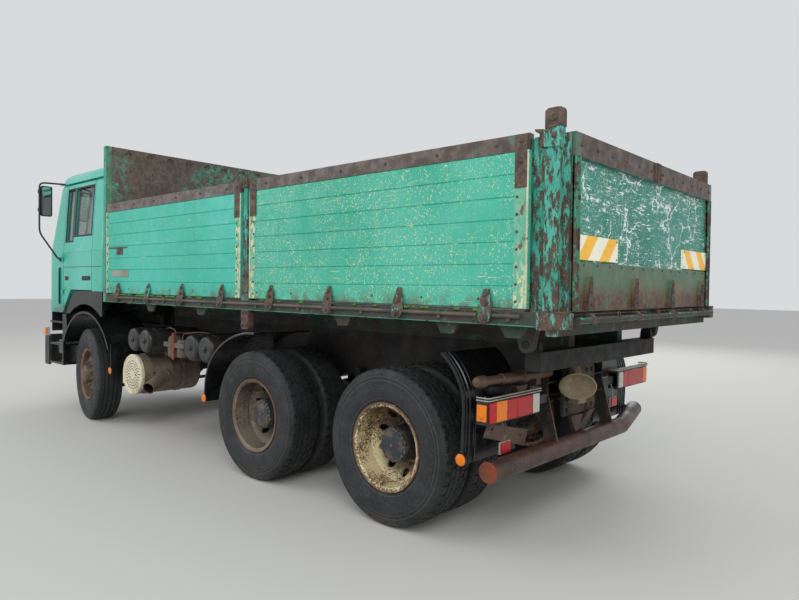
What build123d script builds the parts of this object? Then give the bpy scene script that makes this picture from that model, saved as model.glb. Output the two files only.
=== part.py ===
"""Three-axle cab-over tipper truck with a day cab and a drop-side tipping bed.

Millimetres. +X points forward, +Y to the driver's left and +Z up. The origin is on
the ground, under the middle of the truck's length and width.
"""
import os
from math import cos, radians, sin

from build123d import *

os.makedirs("parts", exist_ok=True)

# Lengths along the truck
rear_overhang = 1390
bogie_spacing = 1500
wheelbase = 3370
front_overhang = 1390
overall_length = rear_overhang + bogie_spacing + wheelbase + front_overhang
rear_axle_x = rear_overhang - overall_length / 2
middle_axle_x = rear_axle_x + bogie_spacing
front_axle_x = middle_axle_x + wheelbase
front_end_x = front_axle_x + front_overhang
rear_end_x = rear_axle_x - rear_overhang

# Clearances
seat_gap = 0.3
door_gap = 11

# Wheels and tyres
tyre_radius = 539
tyre_width = 290
bead_radius = 286
rim_width = 236
flange_height = 18
rim_thickness = 12
twin_spacing = 340
front_track_half = 1023
rear_track_half = 895
front_rest_steer = -8.8
hand_holes = 10
hand_hole_radius = 27
cap_seat = 196
cap_lobes = 10

# Front axle and steering
kingpin_half_spacing = 880
kingpin_radius = 50
arm_length = 175
track_rod_radius = 20
spindle_radius = 40

# Ladder frame and subframe
frame_half_width = 425
frame_bottom = 850
frame_height = 270
frame_flange = 80
frame_plate = 9
frame_top = frame_bottom + frame_height
frame_rear_x = rear_axle_x - 800
frame_front_x = front_end_x - 265
subframe_height = 120
subframe_width = 80
subframe_top = frame_top + subframe_height

# Tipping bed
tip_x = rear_axle_x - 960
tip_z = 1290
tip_pin_radius = 25
floor_top = 1500
floor_plate = 12
bed_half_width = 1245
post_inner_y = 1178
floor_half_width = post_inner_y - 8
ledge_top = floor_top - 3
bed_front_x = front_axle_x - 670
flap_bottom = 1512
flap_top = 2487
flap_thickness = 26
flap_outer_y = 1236
flap_hinge_y = 1262
flap_hinge_z = 1452
flap_barrel_radius = 13
rail_height = 92
rail_depth = 46
headboard_top = 3130
corner_post_top = 2600
gate_half_width = 1164
gate_strap_depth = 26
gate_outer_x = rear_end_x + 55
gate_thickness = 40
gate_hinge_z = 2440

# Tipping hoist
hoist_x = rear_axle_x + 1850
trunnion_z = 1100
hoist_bottom = 730
hoist_head_z = 1400
barrel_radius = 105
hoist_wall = 8
stage_count = 4
ball_radius = 34

# Cab
cab_rear_x = front_axle_x - 550
cab_front_x = front_end_x - 180
cab_bottom = 1250
cab_belt = 1985
cab_roof = 2925
cab_half_width = 1220
cab_wall = 45
cab_tilt_x = front_end_x - 290
cab_tilt_z = 1000
door_front_x = front_axle_x + 575
door_rear_x = front_axle_x - 255
door_hinge_out = 10
hinge_barrel_radius = 9.5
hinge_barrel_height = 45
door_hinge_heights = (1480, 1880)
door_bottom = 1312
door_top = 2822
arch_top = 1525
arch_front_x = front_axle_x + 350

SIDES = (("left", 1), ("right", -1))


def outline(*points):
    """A closed face from corner points, on the sketch in progress."""
    Polygon(*points, align=None)


def write(part, node):
    """Label a finished piece and write it to its own file."""
    part.label = node
    export_step(part, f"parts/{node}.step")


# Wheels
# The profile columns are: distance along the axle, radius
def tyre_profile(centre):
    half = tyre_width / 2
    outline(
        (centre - rim_width / 2 + 8, bead_radius + seat_gap),
        (centre + rim_width / 2 - 8, bead_radius + seat_gap),
        (centre + rim_width / 2 - 2, bead_radius + flange_height + 1),
        (centre + half, bead_radius + 0.45 * (tyre_radius - bead_radius)),
        (centre + half - 8, tyre_radius - 45),
        (centre + half - 40, tyre_radius),
        (centre - half + 40, tyre_radius),
        (centre - half + 8, tyre_radius - 45),
        (centre - half, bead_radius + 0.45 * (tyre_radius - bead_radius)),
        (centre - rim_width / 2 + 2, bead_radius + flange_height + 1),
    )


def rim_profile(centre, disc_at, disc_side, bolt_face):
    """Rim band with its two flanges, and the dished disc that joins it to the hub."""
    half = rim_width / 2
    outline(
        (centre - half, bead_radius + flange_height),
        (centre - half + rim_thickness / 2, bead_radius),
        (centre + half - rim_thickness / 2, bead_radius),
        (centre + half, bead_radius + flange_height),
        (centre + half + rim_thickness, bead_radius + flange_height),
        (centre + half, bead_radius - rim_thickness),
        (centre - half, bead_radius - rim_thickness),
        (centre - half - rim_thickness, bead_radius + flange_height),
    )
    outline(
        (bolt_face, 100),
        (bolt_face, 170),
        (disc_at, bead_radius - rim_thickness / 2),
        (disc_at + disc_side * rim_thickness, bead_radius - rim_thickness / 2),
        (bolt_face + disc_side * rim_thickness, 160),
        (bolt_face + disc_side * rim_thickness, 100),
    )


def wheel_plane(centre, outward):
    """Plane that holds the axle: its X runs outward along the axle, its Y runs up."""
    return Plane(origin=centre, x_dir=outward, z_dir=Vector(*outward).cross(Vector(0, 0, 1)))


twin_stations = (twin_spacing / 2, -twin_spacing / 2)
wheel_places = []
for side_name, side in SIDES:
    steer = radians(front_rest_steer)
    out_front = (-side * sin(steer), side * cos(steer), 0)
    reach = front_track_half - kingpin_half_spacing
    front_centre = (
        front_axle_x + reach * out_front[0],
        side * kingpin_half_spacing + reach * out_front[1],
        tyre_radius,
    )
    wheel_places.append((f"front_{side_name}", front_centre, out_front, True))
    for axle_name, axle_x in (("middle", middle_axle_x), ("rear", rear_axle_x)):
        centre = (axle_x, side * rear_track_half, tyre_radius)
        wheel_places.append((f"{axle_name}_{side_name}", centre, (0, side, 0), False))

for wheel_name, centre, outward, steered in wheel_places:
    plane = wheel_plane(centre, outward)
    axle = Axis(centre, outward)
    with BuildPart() as tyre:
        with BuildSketch(plane):
            for station in (0,) if steered else twin_stations:
                tyre_profile(station)
        revolve(axis=axle)
    write(tyre.part, f"tyre_{wheel_name}")

    with BuildPart() as wheel:
        with BuildSketch(plane):
            if steered:
                rim_profile(0, 40, -1, 95)
                outline((-45, spindle_radius + seat_gap), (-45, 195), (30, 195), (30, 165), (95, 165), (95, 110),
                        (150, 100), (165, 80), (165, 0), (110, 0), (110, spindle_radius + seat_gap))
            else:
                for station, direction in zip(twin_stations, (1, -1)):
                    rim_profile(station, station - direction * 30, direction, 0)
                outline((-330, spindle_radius + 10), (-330, 205), (-150, 205), (-150, 150), (26, 150),
                        (26, 128), (cap_seat, 122), (cap_seat, 104), (cap_seat + 26, 98), (cap_seat + 36, 60),
                        (cap_seat + 36, 0), (180, 0), (180, spindle_radius + 10))
        revolve(axis=axle)
        hole_plane = Plane(origin=centre, x_dir=(0, 0, 1), z_dir=outward)
        with BuildSketch(hole_plane):
            with PolarLocations(218, hand_holes):
                Circle(hand_hole_radius)
        extrude(amount=rim_width, mode=Mode.SUBTRACT)
        if not steered:
            with BuildSketch(hole_plane.offset(cap_seat)):
                Circle(110)
                with PolarLocations(104, cap_lobes):
                    Circle(17)
            extrude(amount=16)
    write(wheel.part, f"wheel_{wheel_name}")

# Front axle beam, a forging with a dropped middle and an eye at each kingpin
beam_height = 110
beam_drop = 90
eye_height = 120
drop_inner = 240
drop_outer = 350
with BuildPart() as front_axle:
    with BuildSketch(Plane.YZ.offset(front_axle_x - 45)):
        upper = tyre_radius + beam_height / 2 - 10
        outline(
            (-kingpin_half_spacing, upper - beam_height + 20), (-drop_outer, upper - beam_height),
            (-drop_inner, upper - beam_height - beam_drop), (drop_inner, upper - beam_height - beam_drop),
            (drop_outer, upper - beam_height), (kingpin_half_spacing, upper - beam_height + 20),
            (kingpin_half_spacing, upper - 20), (drop_outer, upper),
            (drop_inner, upper - beam_drop), (-drop_inner, upper - beam_drop), (-drop_outer, upper),
            (-kingpin_half_spacing, upper - 20),
        )
    extrude(amount=90)
    with BuildSketch(Plane.XY.offset(tyre_radius - eye_height / 2)):
        with Locations((front_axle_x, kingpin_half_spacing), (front_axle_x, -kingpin_half_spacing)):
            Circle(kingpin_radius)
    extrude(amount=eye_height)
write(front_axle.part, "front_axle")

# Steering knuckles: a fork above and below the eye, the wheel's spindle and a track rod arm
fork_plate = 55
arm_z = tyre_radius - eye_height / 2 - seat_gap - fork_plate
knuckle_parts = {}
for side_name, side in SIDES:
    steer = radians(front_rest_steer)
    pivot = Vector(front_axle_x, side * kingpin_half_spacing, 0)
    turned = Plane(origin=pivot, x_dir=(cos(steer), sin(steer), 0), z_dir=(0, 0, 1))
    with BuildPart() as knuckle:
        for low in (arm_z, tyre_radius + eye_height / 2 + seat_gap):
            with BuildSketch(turned.offset(low)):
                Circle(kingpin_radius)
                with Locations((0, side * (kingpin_radius + 10))):
                    Rectangle(2 * kingpin_radius, 60)
            extrude(amount=fork_plate)
        with BuildSketch(turned.offset(arm_z)):
            with Locations((0, side * (kingpin_radius + 25))):
                Rectangle(2 * kingpin_radius, 30)
        extrude(amount=eye_height + 2 * (fork_plate + seat_gap))
        with BuildSketch(turned.offset(arm_z)):
            outline((0, -30), (-arm_length, -22), (-arm_length, 22), (0, 30))
            with Locations((-arm_length, 0)):
                Circle(30)
        extrude(amount=30)
        spindle_start = turned.location * Location((0, side * (kingpin_radius + 20), tyre_radius))
        out_dir = (-side * sin(steer), side * cos(steer), 0)
        with BuildSketch(Plane(origin=spindle_start.position, z_dir=out_dir)):
            Circle(spindle_radius)
        extrude(amount=front_track_half - kingpin_half_spacing + 30)
    knuckle_parts[side_name] = knuckle
    write(knuckle.part, f"knuckle_{side_name}")

# Track rod behind the axle, between the two arms
rod_x = front_axle_x - arm_length * cos(radians(front_rest_steer))
rod_shift_y = -arm_length * sin(radians(front_rest_steer))
rod_z = arm_z - seat_gap - 28
with BuildPart() as track_rod:
    with BuildSketch(Plane.XZ.offset(-(rod_shift_y - kingpin_half_spacing))):
        with Locations((rod_x, rod_z)):
            Circle(track_rod_radius)
    extrude(amount=-2 * kingpin_half_spacing)
    with BuildSketch(Plane.XY.offset(rod_z - 28)):
        with Locations((rod_x, rod_shift_y - kingpin_half_spacing), (rod_x, rod_shift_y + kingpin_half_spacing)):
            Circle(30)
    extrude(amount=56)
write(track_rod.part, "track_rod")

# Drive axles: a tube with the differential's bowl, and the brake backing plates
axle_tube_radius = 72
diff_radius = 205
tube_end_y = 560
with BuildPart() as drive_axles:
    for axle_x in (middle_axle_x, rear_axle_x):
        axle = Axis((axle_x, 0, tyre_radius), (0, 1, 0))
        with BuildSketch(Plane(origin=(axle_x, 0, tyre_radius), x_dir=(0, 1, 0), z_dir=(1, 0, 0))):
            spindle = spindle_radius + 10 - seat_gap
            outline((-rear_track_half - 160, 0), (-rear_track_half - 160, spindle), (-tube_end_y, spindle),
                    (-tube_end_y, axle_tube_radius), (-220, axle_tube_radius), (-110, diff_radius),
                    (110, diff_radius), (220, axle_tube_radius), (tube_end_y, axle_tube_radius),
                    (tube_end_y, spindle), (rear_track_half + 160, spindle), (rear_track_half + 160, 0))
        revolve(axis=axle)
        with BuildSketch(Plane.YZ.offset(axle_x)):
            with Locations((0, tyre_radius)):
                Circle(90)
        extrude(amount=diff_radius + 90)
write(drive_axles.part, "drive_axles")

# Propeller shafts: gearbox to middle axle, middle axle to rear axle
# Columns: start x, start z, end x, end z
gearbox_end_x = front_axle_x - 1250
shaft_radius = 52
shaft_runs = (
    (gearbox_end_x, 900, middle_axle_x + diff_radius + 90, tyre_radius),
    (middle_axle_x - diff_radius, tyre_radius, rear_axle_x + diff_radius + 90, tyre_radius),
)
yoke_radius = 48
yoke_length = 70
with BuildPart() as propshafts:
    for start_x, start_z, end_x, end_z in shaft_runs:
        start = Vector(start_x - seat_gap, 0, start_z)
        finish = Vector(end_x + seat_gap, 0, end_z)
        inset = Vector(yoke_length, 0, 0)
        run = (finish + inset) - (start - inset)
        with BuildSketch(Plane(origin=start - inset, z_dir=run)):
            Circle(shaft_radius)
        extrude(amount=run.length)
        for place, direction in ((start, -1), (finish, 1)):
            with BuildSketch(Plane(origin=place, z_dir=(direction, 0, 0))):
                Circle(yoke_radius)
            extrude(amount=yoke_length + 20)
write(propshafts.part, "propshafts")

# Leaf springs: stepped packs over the front axle and over each drive axle
# Columns: axle x, half length, spring y, seat z, end rise
leaf_count = 4
leaf_height = 22
leaf_width = 80
spring_places = (
    (front_axle_x, 640, 400, tyre_radius + beam_height / 2 - 10 + seat_gap, 70),
    (middle_axle_x, 560, 480, tyre_radius + axle_tube_radius + seat_gap, 100),
    (rear_axle_x, 560, 480, tyre_radius + axle_tube_radius + seat_gap, 100),
)
with BuildPart() as leaf_springs:
    for axle_x, half_length, spring_y, seat_z, rise in spring_places:
        for side_name, side in SIDES:
            with BuildSketch(Plane.XZ.offset(-side * spring_y - leaf_width / 2)):
                for leaf in range(leaf_count):
                    reach = half_length * (leaf + 1) / leaf_count
                    lift = rise * (reach / half_length) ** 2
                    base = seat_z + leaf * leaf_height
                    outline((axle_x - reach, base + lift), (axle_x, base), (axle_x + reach, base + lift),
                            (axle_x + reach, base + lift + leaf_height), (axle_x, base + leaf_height + 1),
                            (axle_x - reach, base + lift + leaf_height))
            extrude(amount=leaf_width)
write(leaf_springs.part, "leaf_springs")

# Ladder frame: two channels with their flanges turned inward, and channel cross members
cross_members = (frame_rear_x + 40, rear_axle_x + 430, middle_axle_x - 430, middle_axle_x + 620,
                 front_axle_x - 1500, frame_front_x - 50)
cross_member_bottom = frame_bottom + 130
cab_pin_radius = 20
hanger_length = 60
cab_pin_length = 50
cab_mount_x = front_axle_x - 500
with BuildPart() as chassis_frame:
    for side_name, side in SIDES:
        outer = side * frame_half_width
        web = side * (frame_half_width - frame_plate)
        lip = side * (frame_half_width - frame_flange)
        with BuildSketch(Plane.YZ.offset(frame_rear_x)):
            outline((outer, frame_bottom), (outer, frame_top), (lip, frame_top),
                    (lip, frame_top - frame_plate), (web, frame_top - frame_plate),
                    (web, frame_bottom + frame_plate), (lip, frame_bottom + frame_plate), (lip, frame_bottom))
        extrude(amount=frame_front_x - frame_rear_x)
        with BuildSketch(Plane.XZ.offset(-outer)):
            with Locations((cab_tilt_x, cab_tilt_z)):
                Circle(cab_pin_radius)
        extrude(amount=-side * cab_pin_length)
        with BuildSketch(Plane.XY.offset(frame_top)):
            with Locations((cab_mount_x, outer + side * 20)):
                Rectangle(80, 100)
        extrude(amount=cab_bottom - frame_top - seat_gap)
        for axle_x, half_length, spring_y, seat_z, rise in spring_places:
            foot = seat_z + leaf_count * leaf_height + rise + seat_gap
            end_shift = half_length - hanger_length / 2
            with BuildSketch(Plane.XY.offset(foot)):
                with Locations((axle_x - end_shift, side * spring_y), (axle_x + end_shift, side * spring_y)):
                    Rectangle(hanger_length, 60)
            extrude(amount=frame_bottom - foot)
            if spring_y > frame_half_width:
                with BuildSketch(Plane.XY.offset(frame_bottom)):
                    with Locations((axle_x - end_shift, outer + side * 40), (axle_x + end_shift, outer + side * 40)):
                        Rectangle(hanger_length, 90)
                extrude(amount=80)
    for member_x in cross_members:
        low = cross_member_bottom
        high = frame_top - 40
        with BuildSketch(Plane.XZ.offset(-frame_half_width + frame_plate)):
            outline((member_x - 40, low), (member_x + 40, low), (member_x + 40, high), (member_x - 40, high),
                    (member_x - 40, high - frame_plate), (member_x + 40 - frame_plate, high - frame_plate),
                    (member_x + 40 - frame_plate, low + frame_plate), (member_x - 40, low + frame_plate))
        extrude(amount=2 * (frame_half_width - frame_plate))
write(chassis_frame.part, "chassis_frame")

# Subframe of two box beams, a rear beam that carries the tipping pins, and the hoist's cradle
beam_y = frame_half_width - subframe_width / 2
pin_beam_half = 1000
pin_length = 96
cradle_half = 170
trunnion_radius = 32
with BuildPart() as subframe:
    with BuildSketch(Plane.XY.offset(frame_top)):
        with Locations(((tip_x + bed_front_x) / 2, beam_y), ((tip_x + bed_front_x) / 2, -beam_y)):
            Rectangle(bed_front_x - tip_x, subframe_width)
        for member_x in (hoist_x - 260, hoist_x + 260, rear_axle_x + 250, bed_front_x - 60):
            with Locations((member_x, 0)):
                Rectangle(100, 2 * beam_y)
    extrude(amount=subframe_height)
    with BuildSketch(Plane.XY.offset(frame_top + seat_gap)):
        with Locations((tip_x, 0)):
            Rectangle(110, 2 * (pin_beam_half - pin_length))
    extrude(amount=subframe_height - seat_gap)
    for side_name, side in SIDES:
        inner_face = side * (pin_beam_half - pin_length)
        with BuildSketch(Plane.XZ.offset(-inner_face)):
            outline((tip_x - 55, subframe_top - 100), (tip_x + 55, subframe_top - 100),
                    (tip_x + 40, tip_z), (tip_x - 40, tip_z))
            with Locations((tip_x, tip_z)):
                Circle(40)
        extrude(amount=side * 40)
        with BuildSketch(Plane.XZ.offset(-inner_face)):
            with Locations((tip_x, tip_z)):
                Circle(tip_pin_radius)
        extrude(amount=-side * pin_length)
        with BuildSketch(Plane.XZ.offset(-side * (cradle_half - 30))):
            with Locations((hoist_x, trunnion_z + 30)):
                Rectangle(620, 60)
            with Locations((hoist_x, trunnion_z)):
                Circle(75)
                Circle(trunnion_radius + seat_gap, mode=Mode.SUBTRACT)
        extrude(amount=-side * 30)
write(subframe.part, "subframe")

# Telescopic hoist: a barrel on trunnions and tubes that nest in it
stage_step = (barrel_radius - hoist_wall - 28) / (stage_count - 1)
stage_radii = [barrel_radius - hoist_wall - seat_gap - index * stage_step for index in range(stage_count)]
with BuildPart() as hoist_barrel:
    with BuildSketch(Plane.XY.offset(hoist_bottom)):
        with Locations((hoist_x, 0)):
            Circle(barrel_radius)
    extrude(amount=hoist_head_z - 60 - hoist_bottom)
    with BuildSketch(Plane.XY.offset(hoist_bottom + 20)):
        with Locations((hoist_x, 0)):
            Circle(stage_radii[0] + seat_gap)
    extrude(amount=hoist_head_z - hoist_bottom, mode=Mode.SUBTRACT)
    for side_name, side in SIDES:
        with BuildSketch(Plane.XZ.offset(-side * (barrel_radius - 3))):
            with Locations((hoist_x, trunnion_z)):
                Circle(trunnion_radius)
        extrude(amount=-side * (cradle_half - barrel_radius + 20))
write(hoist_barrel.part, "hoist_barrel")

for index, radius in enumerate(stage_radii):
    low = hoist_bottom + 20 + seat_gap + 6 * index
    with BuildPart() as stage:
        with BuildSketch(Plane.XY.offset(low)):
            with Locations((hoist_x, 0)):
                Circle(radius)
        extrude(amount=hoist_head_z - 60 + 8 * (index + 1) - low)
        if index + 1 < stage_count:
            with BuildSketch(Plane.XY.offset(low + 6 - seat_gap)):
                with Locations((hoist_x, 0)):
                    Circle(stage_radii[index + 1] + seat_gap)
            extrude(amount=hoist_head_z, mode=Mode.SUBTRACT)
        else:
            with Locations((hoist_x, 0, hoist_head_z)):
                Sphere(ball_radius)
    write(stage.part, f"hoist_stage_{index + 1}")

# Engine and gearbox, closed in under the cab
with BuildPart() as engine_gearbox:
    with BuildSketch(Plane.XY.offset(frame_bottom - 60)):
        with Locations((front_axle_x + 150, 0)):
            Rectangle(1250, 2 * (frame_half_width - frame_flange - 20))
    extrude(amount=760)
    with BuildSketch(Plane.YZ.offset(front_axle_x - 470)):
        with Locations((0, 930)):
            Circle(185)
    with BuildSketch(Plane.YZ.offset(gearbox_end_x)):
        with Locations((0, 900)):
            Circle(120)
    loft()
    with BuildSketch(Plane.XY.offset(frame_bottom + 110)):
        for foot_x in (front_axle_x - 380, front_axle_x + 620):
            with Locations((foot_x, 0)):
                Rectangle(120, 2 * (frame_half_width - frame_plate - seat_gap))
    extrude(amount=80)
write(engine_gearbox.part, "engine_gearbox")

# Flap sizes that the bed shares
# Columns: name, rear x, front x, hinge stations ahead of the rear axle
mid_post_x = rear_axle_x + 1575
rear_post_x = rear_axle_x - 1250
flap_rows = (
    ("rear", rear_post_x + 140, mid_post_x - 62, (-845, -161, 520, 1208)),
    ("front", mid_post_x + 62, bed_front_x - 7, (1903, 2572, 3221, 3887)),
)
plank_count = 7
groove = 5
strap_width = 46
barrel_length = 60
cheek = 9

# Tipping bed: floor, side ledges, cross members, main beams, socket lugs and the hoist's hanger
bed_rear_x = rear_end_x + 100
ledge_bottom = floor_top - 85
ledge_plate = 8
cross_member_pitch = 475
first_member_x = rear_axle_x - 990
bracket_stations = (first_member_x, first_member_x + cross_member_pitch, first_member_x + 3 * cross_member_pitch,
                    first_member_x + 7 * cross_member_pitch, first_member_x + 9 * cross_member_pitch)
sill_tube_radius = 17
sill_tube_z = 1455
cross_member_half = 1190
main_beam_y = beam_y
lug_thickness = 22
socket_rim = hoist_head_z + 18
with BuildPart() as bed_frame:
    with BuildSketch(Plane.XY.offset(floor_top - floor_plate)):
        with Locations(((bed_rear_x + bed_front_x) / 2, 0)):
            Rectangle(bed_front_x - bed_rear_x, 2 * floor_half_width)
    extrude(amount=floor_plate)
    for side_name, side in SIDES:
        with BuildSketch(Plane.YZ.offset(bed_rear_x)):
            outer = side * bed_half_width
            lip = side * (bed_half_width - 60)
            web = side * (bed_half_width - ledge_plate)
            inner = side * (floor_half_width - 20)
            outline((outer, ledge_bottom), (outer, ledge_top), (inner, ledge_top),
                    (inner, ledge_top - ledge_plate), (web, ledge_top - ledge_plate),
                    (web, ledge_bottom + ledge_plate), (lip, ledge_bottom + ledge_plate), (lip, ledge_bottom))
        extrude(amount=bed_front_x - bed_rear_x)
        with BuildSketch(Plane.XY.offset(subframe_top + seat_gap)):
            with Locations(((tip_x + 10 + bed_front_x) / 2, side * main_beam_y)):
                Rectangle(bed_front_x - tip_x - 10, subframe_width)
        extrude(amount=floor_top - floor_plate - subframe_top - seat_gap)
        for flap_name, rear_x, front_x, hinge_stations in flap_rows:
            for station in hinge_stations:
                for direction in (-1, 1):
                    lug_start = rear_axle_x + station + direction * (barrel_length / 2 + seat_gap)
                    with BuildSketch(Plane.YZ.offset(lug_start)):
                        outline((side * (bed_half_width - 4), flap_hinge_z - 34), (side * (flap_hinge_y + 4), flap_hinge_z - 13),
                                (side * (flap_hinge_y + 13), flap_hinge_z), (side * (flap_hinge_y + 4), flap_hinge_z + 13),
                                (side * (bed_half_width - 4), flap_hinge_z + 30))
                    extrude(amount=direction * cheek)
        for lug_y in (pin_beam_half - pin_length + 42, pin_beam_half - lug_thickness - 4):
            with BuildSketch(Plane.XZ.offset(-side * lug_y)):
                outline((tip_x - 50, tip_z), (tip_x + 50, tip_z), (tip_x + 90, floor_top - floor_plate),
                        (tip_x - 90, floor_top - floor_plate))
                with Locations((tip_x, tip_z)):
                    Circle(50)
                    Circle(tip_pin_radius + seat_gap, mode=Mode.SUBTRACT)
            extrude(amount=-side * lug_thickness)
    with BuildSketch(Plane.XY.offset(socket_rim)):
        with Locations((hoist_x, 0)):
            Circle(70)
            with PolarLocations(90, 4, 45):
                Rectangle(110, 16)
    extrude(amount=floor_top - floor_plate - socket_rim)
    with Locations((hoist_x, 0, hoist_head_z)):
        Sphere(ball_radius + 2 * seat_gap, mode=Mode.SUBTRACT)
    with BuildSketch(Plane.XY.offset(floor_top - 100)):
        member_x = first_member_x
        while member_x < bed_front_x - 60:
            if abs(member_x - hoist_x) > 180:
                with Locations((member_x, 0)):
                    Rectangle(60, 2 * cross_member_half)
            member_x += cross_member_pitch
    extrude(amount=100 - floor_plate)
    with BuildSketch(Plane.XY.offset(floor_top - 130)):
        with Locations((bed_rear_x + 30, 0)):
            Rectangle(60, 2 * bed_half_width)
    extrude(amount=ledge_top - floor_top + 130)
    for side_name, side in SIDES:
        with BuildSketch(Plane.XZ.offset(-side * 1262)):
            outline((rear_post_x - 107, 1412), (rear_post_x + 58, 1400), (rear_post_x + 70, 1412),
                    (rear_post_x + 70, ledge_top), (rear_post_x - 107, ledge_top))
        extrude(amount=side * 90)
        with BuildSketch(Plane.XZ.offset(-side * 1240)):
            outline((mid_post_x - 52, ledge_bottom + 10), (mid_post_x - 46, 1262), (mid_post_x - 38, 1255),
                    (mid_post_x + 38, 1255), (mid_post_x + 46, 1262), (mid_post_x + 52, ledge_bottom + 10))
        extrude(amount=side * 60)
        for station in bracket_stations:
            with BuildSketch(Plane.XZ.offset(-side * 1188)):
                outline((station - 92, ledge_bottom - 5), (station - 48, 1342), (station + 48, 1342),
                        (station + 92, ledge_bottom - 5), (station + 92, ledge_bottom + 5),
                        (station - 92, ledge_bottom + 5))
            extrude(amount=side * 20)
        for bracket_y in (side * 1080, side * 380):
            with BuildSketch(Plane.XY.offset(sill_tube_z - 12)):
                with Locations(((bed_rear_x + rear_end_x + 12) / 2, bracket_y)):
                    Rectangle(bed_rear_x - rear_end_x - 8, 36)
            extrude(amount=24)
    with BuildSketch(Plane.XZ.offset(-1150)):
        with Locations((rear_end_x + sill_tube_radius, sill_tube_z)):
            Circle(sill_tube_radius)
    extrude(amount=2300)
write(bed_frame.part, "bed_frame")

# Headboard: a sheet with a tube frame and upright ribs on its front
headboard_depth = 60
headboard_height = headboard_top - ledge_bottom
headboard_middle = (headboard_top + ledge_bottom) / 2
with BuildPart() as headboard:
    with BuildSketch(Plane.YZ.offset(bed_front_x)):
        with Locations((0, headboard_middle)):
            Rectangle(2 * bed_half_width, headboard_height)
    extrude(amount=8)
    with BuildSketch(Plane.YZ.offset(bed_front_x)):
        with Locations((0, headboard_middle)):
            Rectangle(2 * bed_half_width, headboard_height)
            Rectangle(2 * bed_half_width - 120, headboard_height - 160, mode=Mode.SUBTRACT)
            with GridLocations(600, 1, 3, 1):
                Rectangle(60, headboard_height)
    extrude(amount=headboard_depth)
write(headboard.part, "headboard")

# Posts that the flaps latch to: hat sections on recessed plates, at the rear corners and amidships
gate_hinge_x = rear_post_x - 22
post_plate_y = 1200
with BuildPart() as bed_posts:
    for side_name, side in SIDES:
        with BuildSketch(Plane.XZ.offset(-side * post_plate_y)):
            outline((rear_post_x - 80, ledge_top), (rear_post_x + 133, ledge_top), (rear_post_x + 133, 2465),
                    (rear_post_x - 80, 2465))
            outline((mid_post_x - 54, ledge_top), (mid_post_x + 54, ledge_top), (mid_post_x + 54, flap_top - 60),
                    (mid_post_x - 54, flap_top - 60))
        extrude(amount=side * (post_plate_y - post_inner_y))
        with BuildSketch(Plane.XZ.offset(-side * flap_outer_y)):
            outline((rear_post_x - 45, ledge_top), (rear_post_x + 45, ledge_top), (rear_post_x + 45, corner_post_top - 50),
                    (rear_post_x + 33, corner_post_top), (rear_post_x - 45, corner_post_top))
            outline((mid_post_x - 48, ledge_top), (mid_post_x + 48, ledge_top), (mid_post_x + 40, 1760),
                    (mid_post_x + 26, 1800), (mid_post_x + 24, flap_top + 10), (mid_post_x - 24, flap_top + 10),
                    (mid_post_x - 26, 1800), (mid_post_x - 40, 1760))
        extrude(amount=side * (flap_outer_y - post_inner_y))
        with BuildSketch(Plane.XZ.offset(-side * post_plate_y)):
            with Locations((gate_hinge_x, gate_hinge_z)):
                Circle(14 + seat_gap)
        extrude(amount=side * (post_plate_y - post_inner_y), mode=Mode.SUBTRACT)
write(bed_posts.part, "bed_posts")

# Side flaps: planked panels with a box rail, hinged at the bottom on solid barrels
flap_inner_y = flap_outer_y - flap_thickness
for side_name, side in SIDES:
    for flap_name, rear_x, front_x, hinge_stations in flap_rows:
        pitch = (flap_top - rail_height - flap_bottom) / plank_count
        skin = [(side * flap_inner_y, flap_bottom)]
        skin.append((side * (flap_outer_y - groove), flap_bottom))
        for plank in range(plank_count):
            base = flap_bottom + plank * pitch
            skin.append((side * flap_outer_y, base + groove))
            skin.append((side * flap_outer_y, base + pitch - groove))
            skin.append((side * (flap_outer_y - groove), base + pitch))
        skin.append((side * (flap_outer_y + 4), flap_top - rail_height))
        skin.append((side * (flap_outer_y + 4), flap_top))
        skin.append((side * (flap_outer_y + 4 - rail_depth), flap_top))
        skin.append((side * (flap_outer_y + 4 - rail_depth), flap_top - rail_height))
        skin.append((side * flap_inner_y, flap_top - rail_height))
        with BuildPart() as flap:
            with BuildSketch(Plane.YZ.offset(rear_x)):
                outline(*skin)
            extrude(amount=front_x - rear_x)
            for station in hinge_stations:
                strap_x = rear_axle_x + station
                with BuildSketch(Plane.YZ.offset(strap_x - strap_width / 2)):
                    outline((side * (flap_outer_y - 10), flap_bottom + 110), (side * (flap_outer_y + 6), flap_bottom + 110),
                            (side * (flap_hinge_y + 9), flap_hinge_z), (side * (flap_hinge_y - 6), flap_hinge_z),
                            (side * (bed_half_width + 8), flap_bottom), (side * (flap_outer_y - 10), flap_bottom + 5))
                extrude(amount=strap_width)
                with BuildSketch(Plane.YZ.offset(strap_x - barrel_length / 2)):
                    with Locations((side * flap_hinge_y, flap_hinge_z)):
                        Circle(flap_barrel_radius)
                extrude(amount=barrel_length)
        write(flap.part, f"side_flap_{flap_name}_{side_name}")

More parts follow.
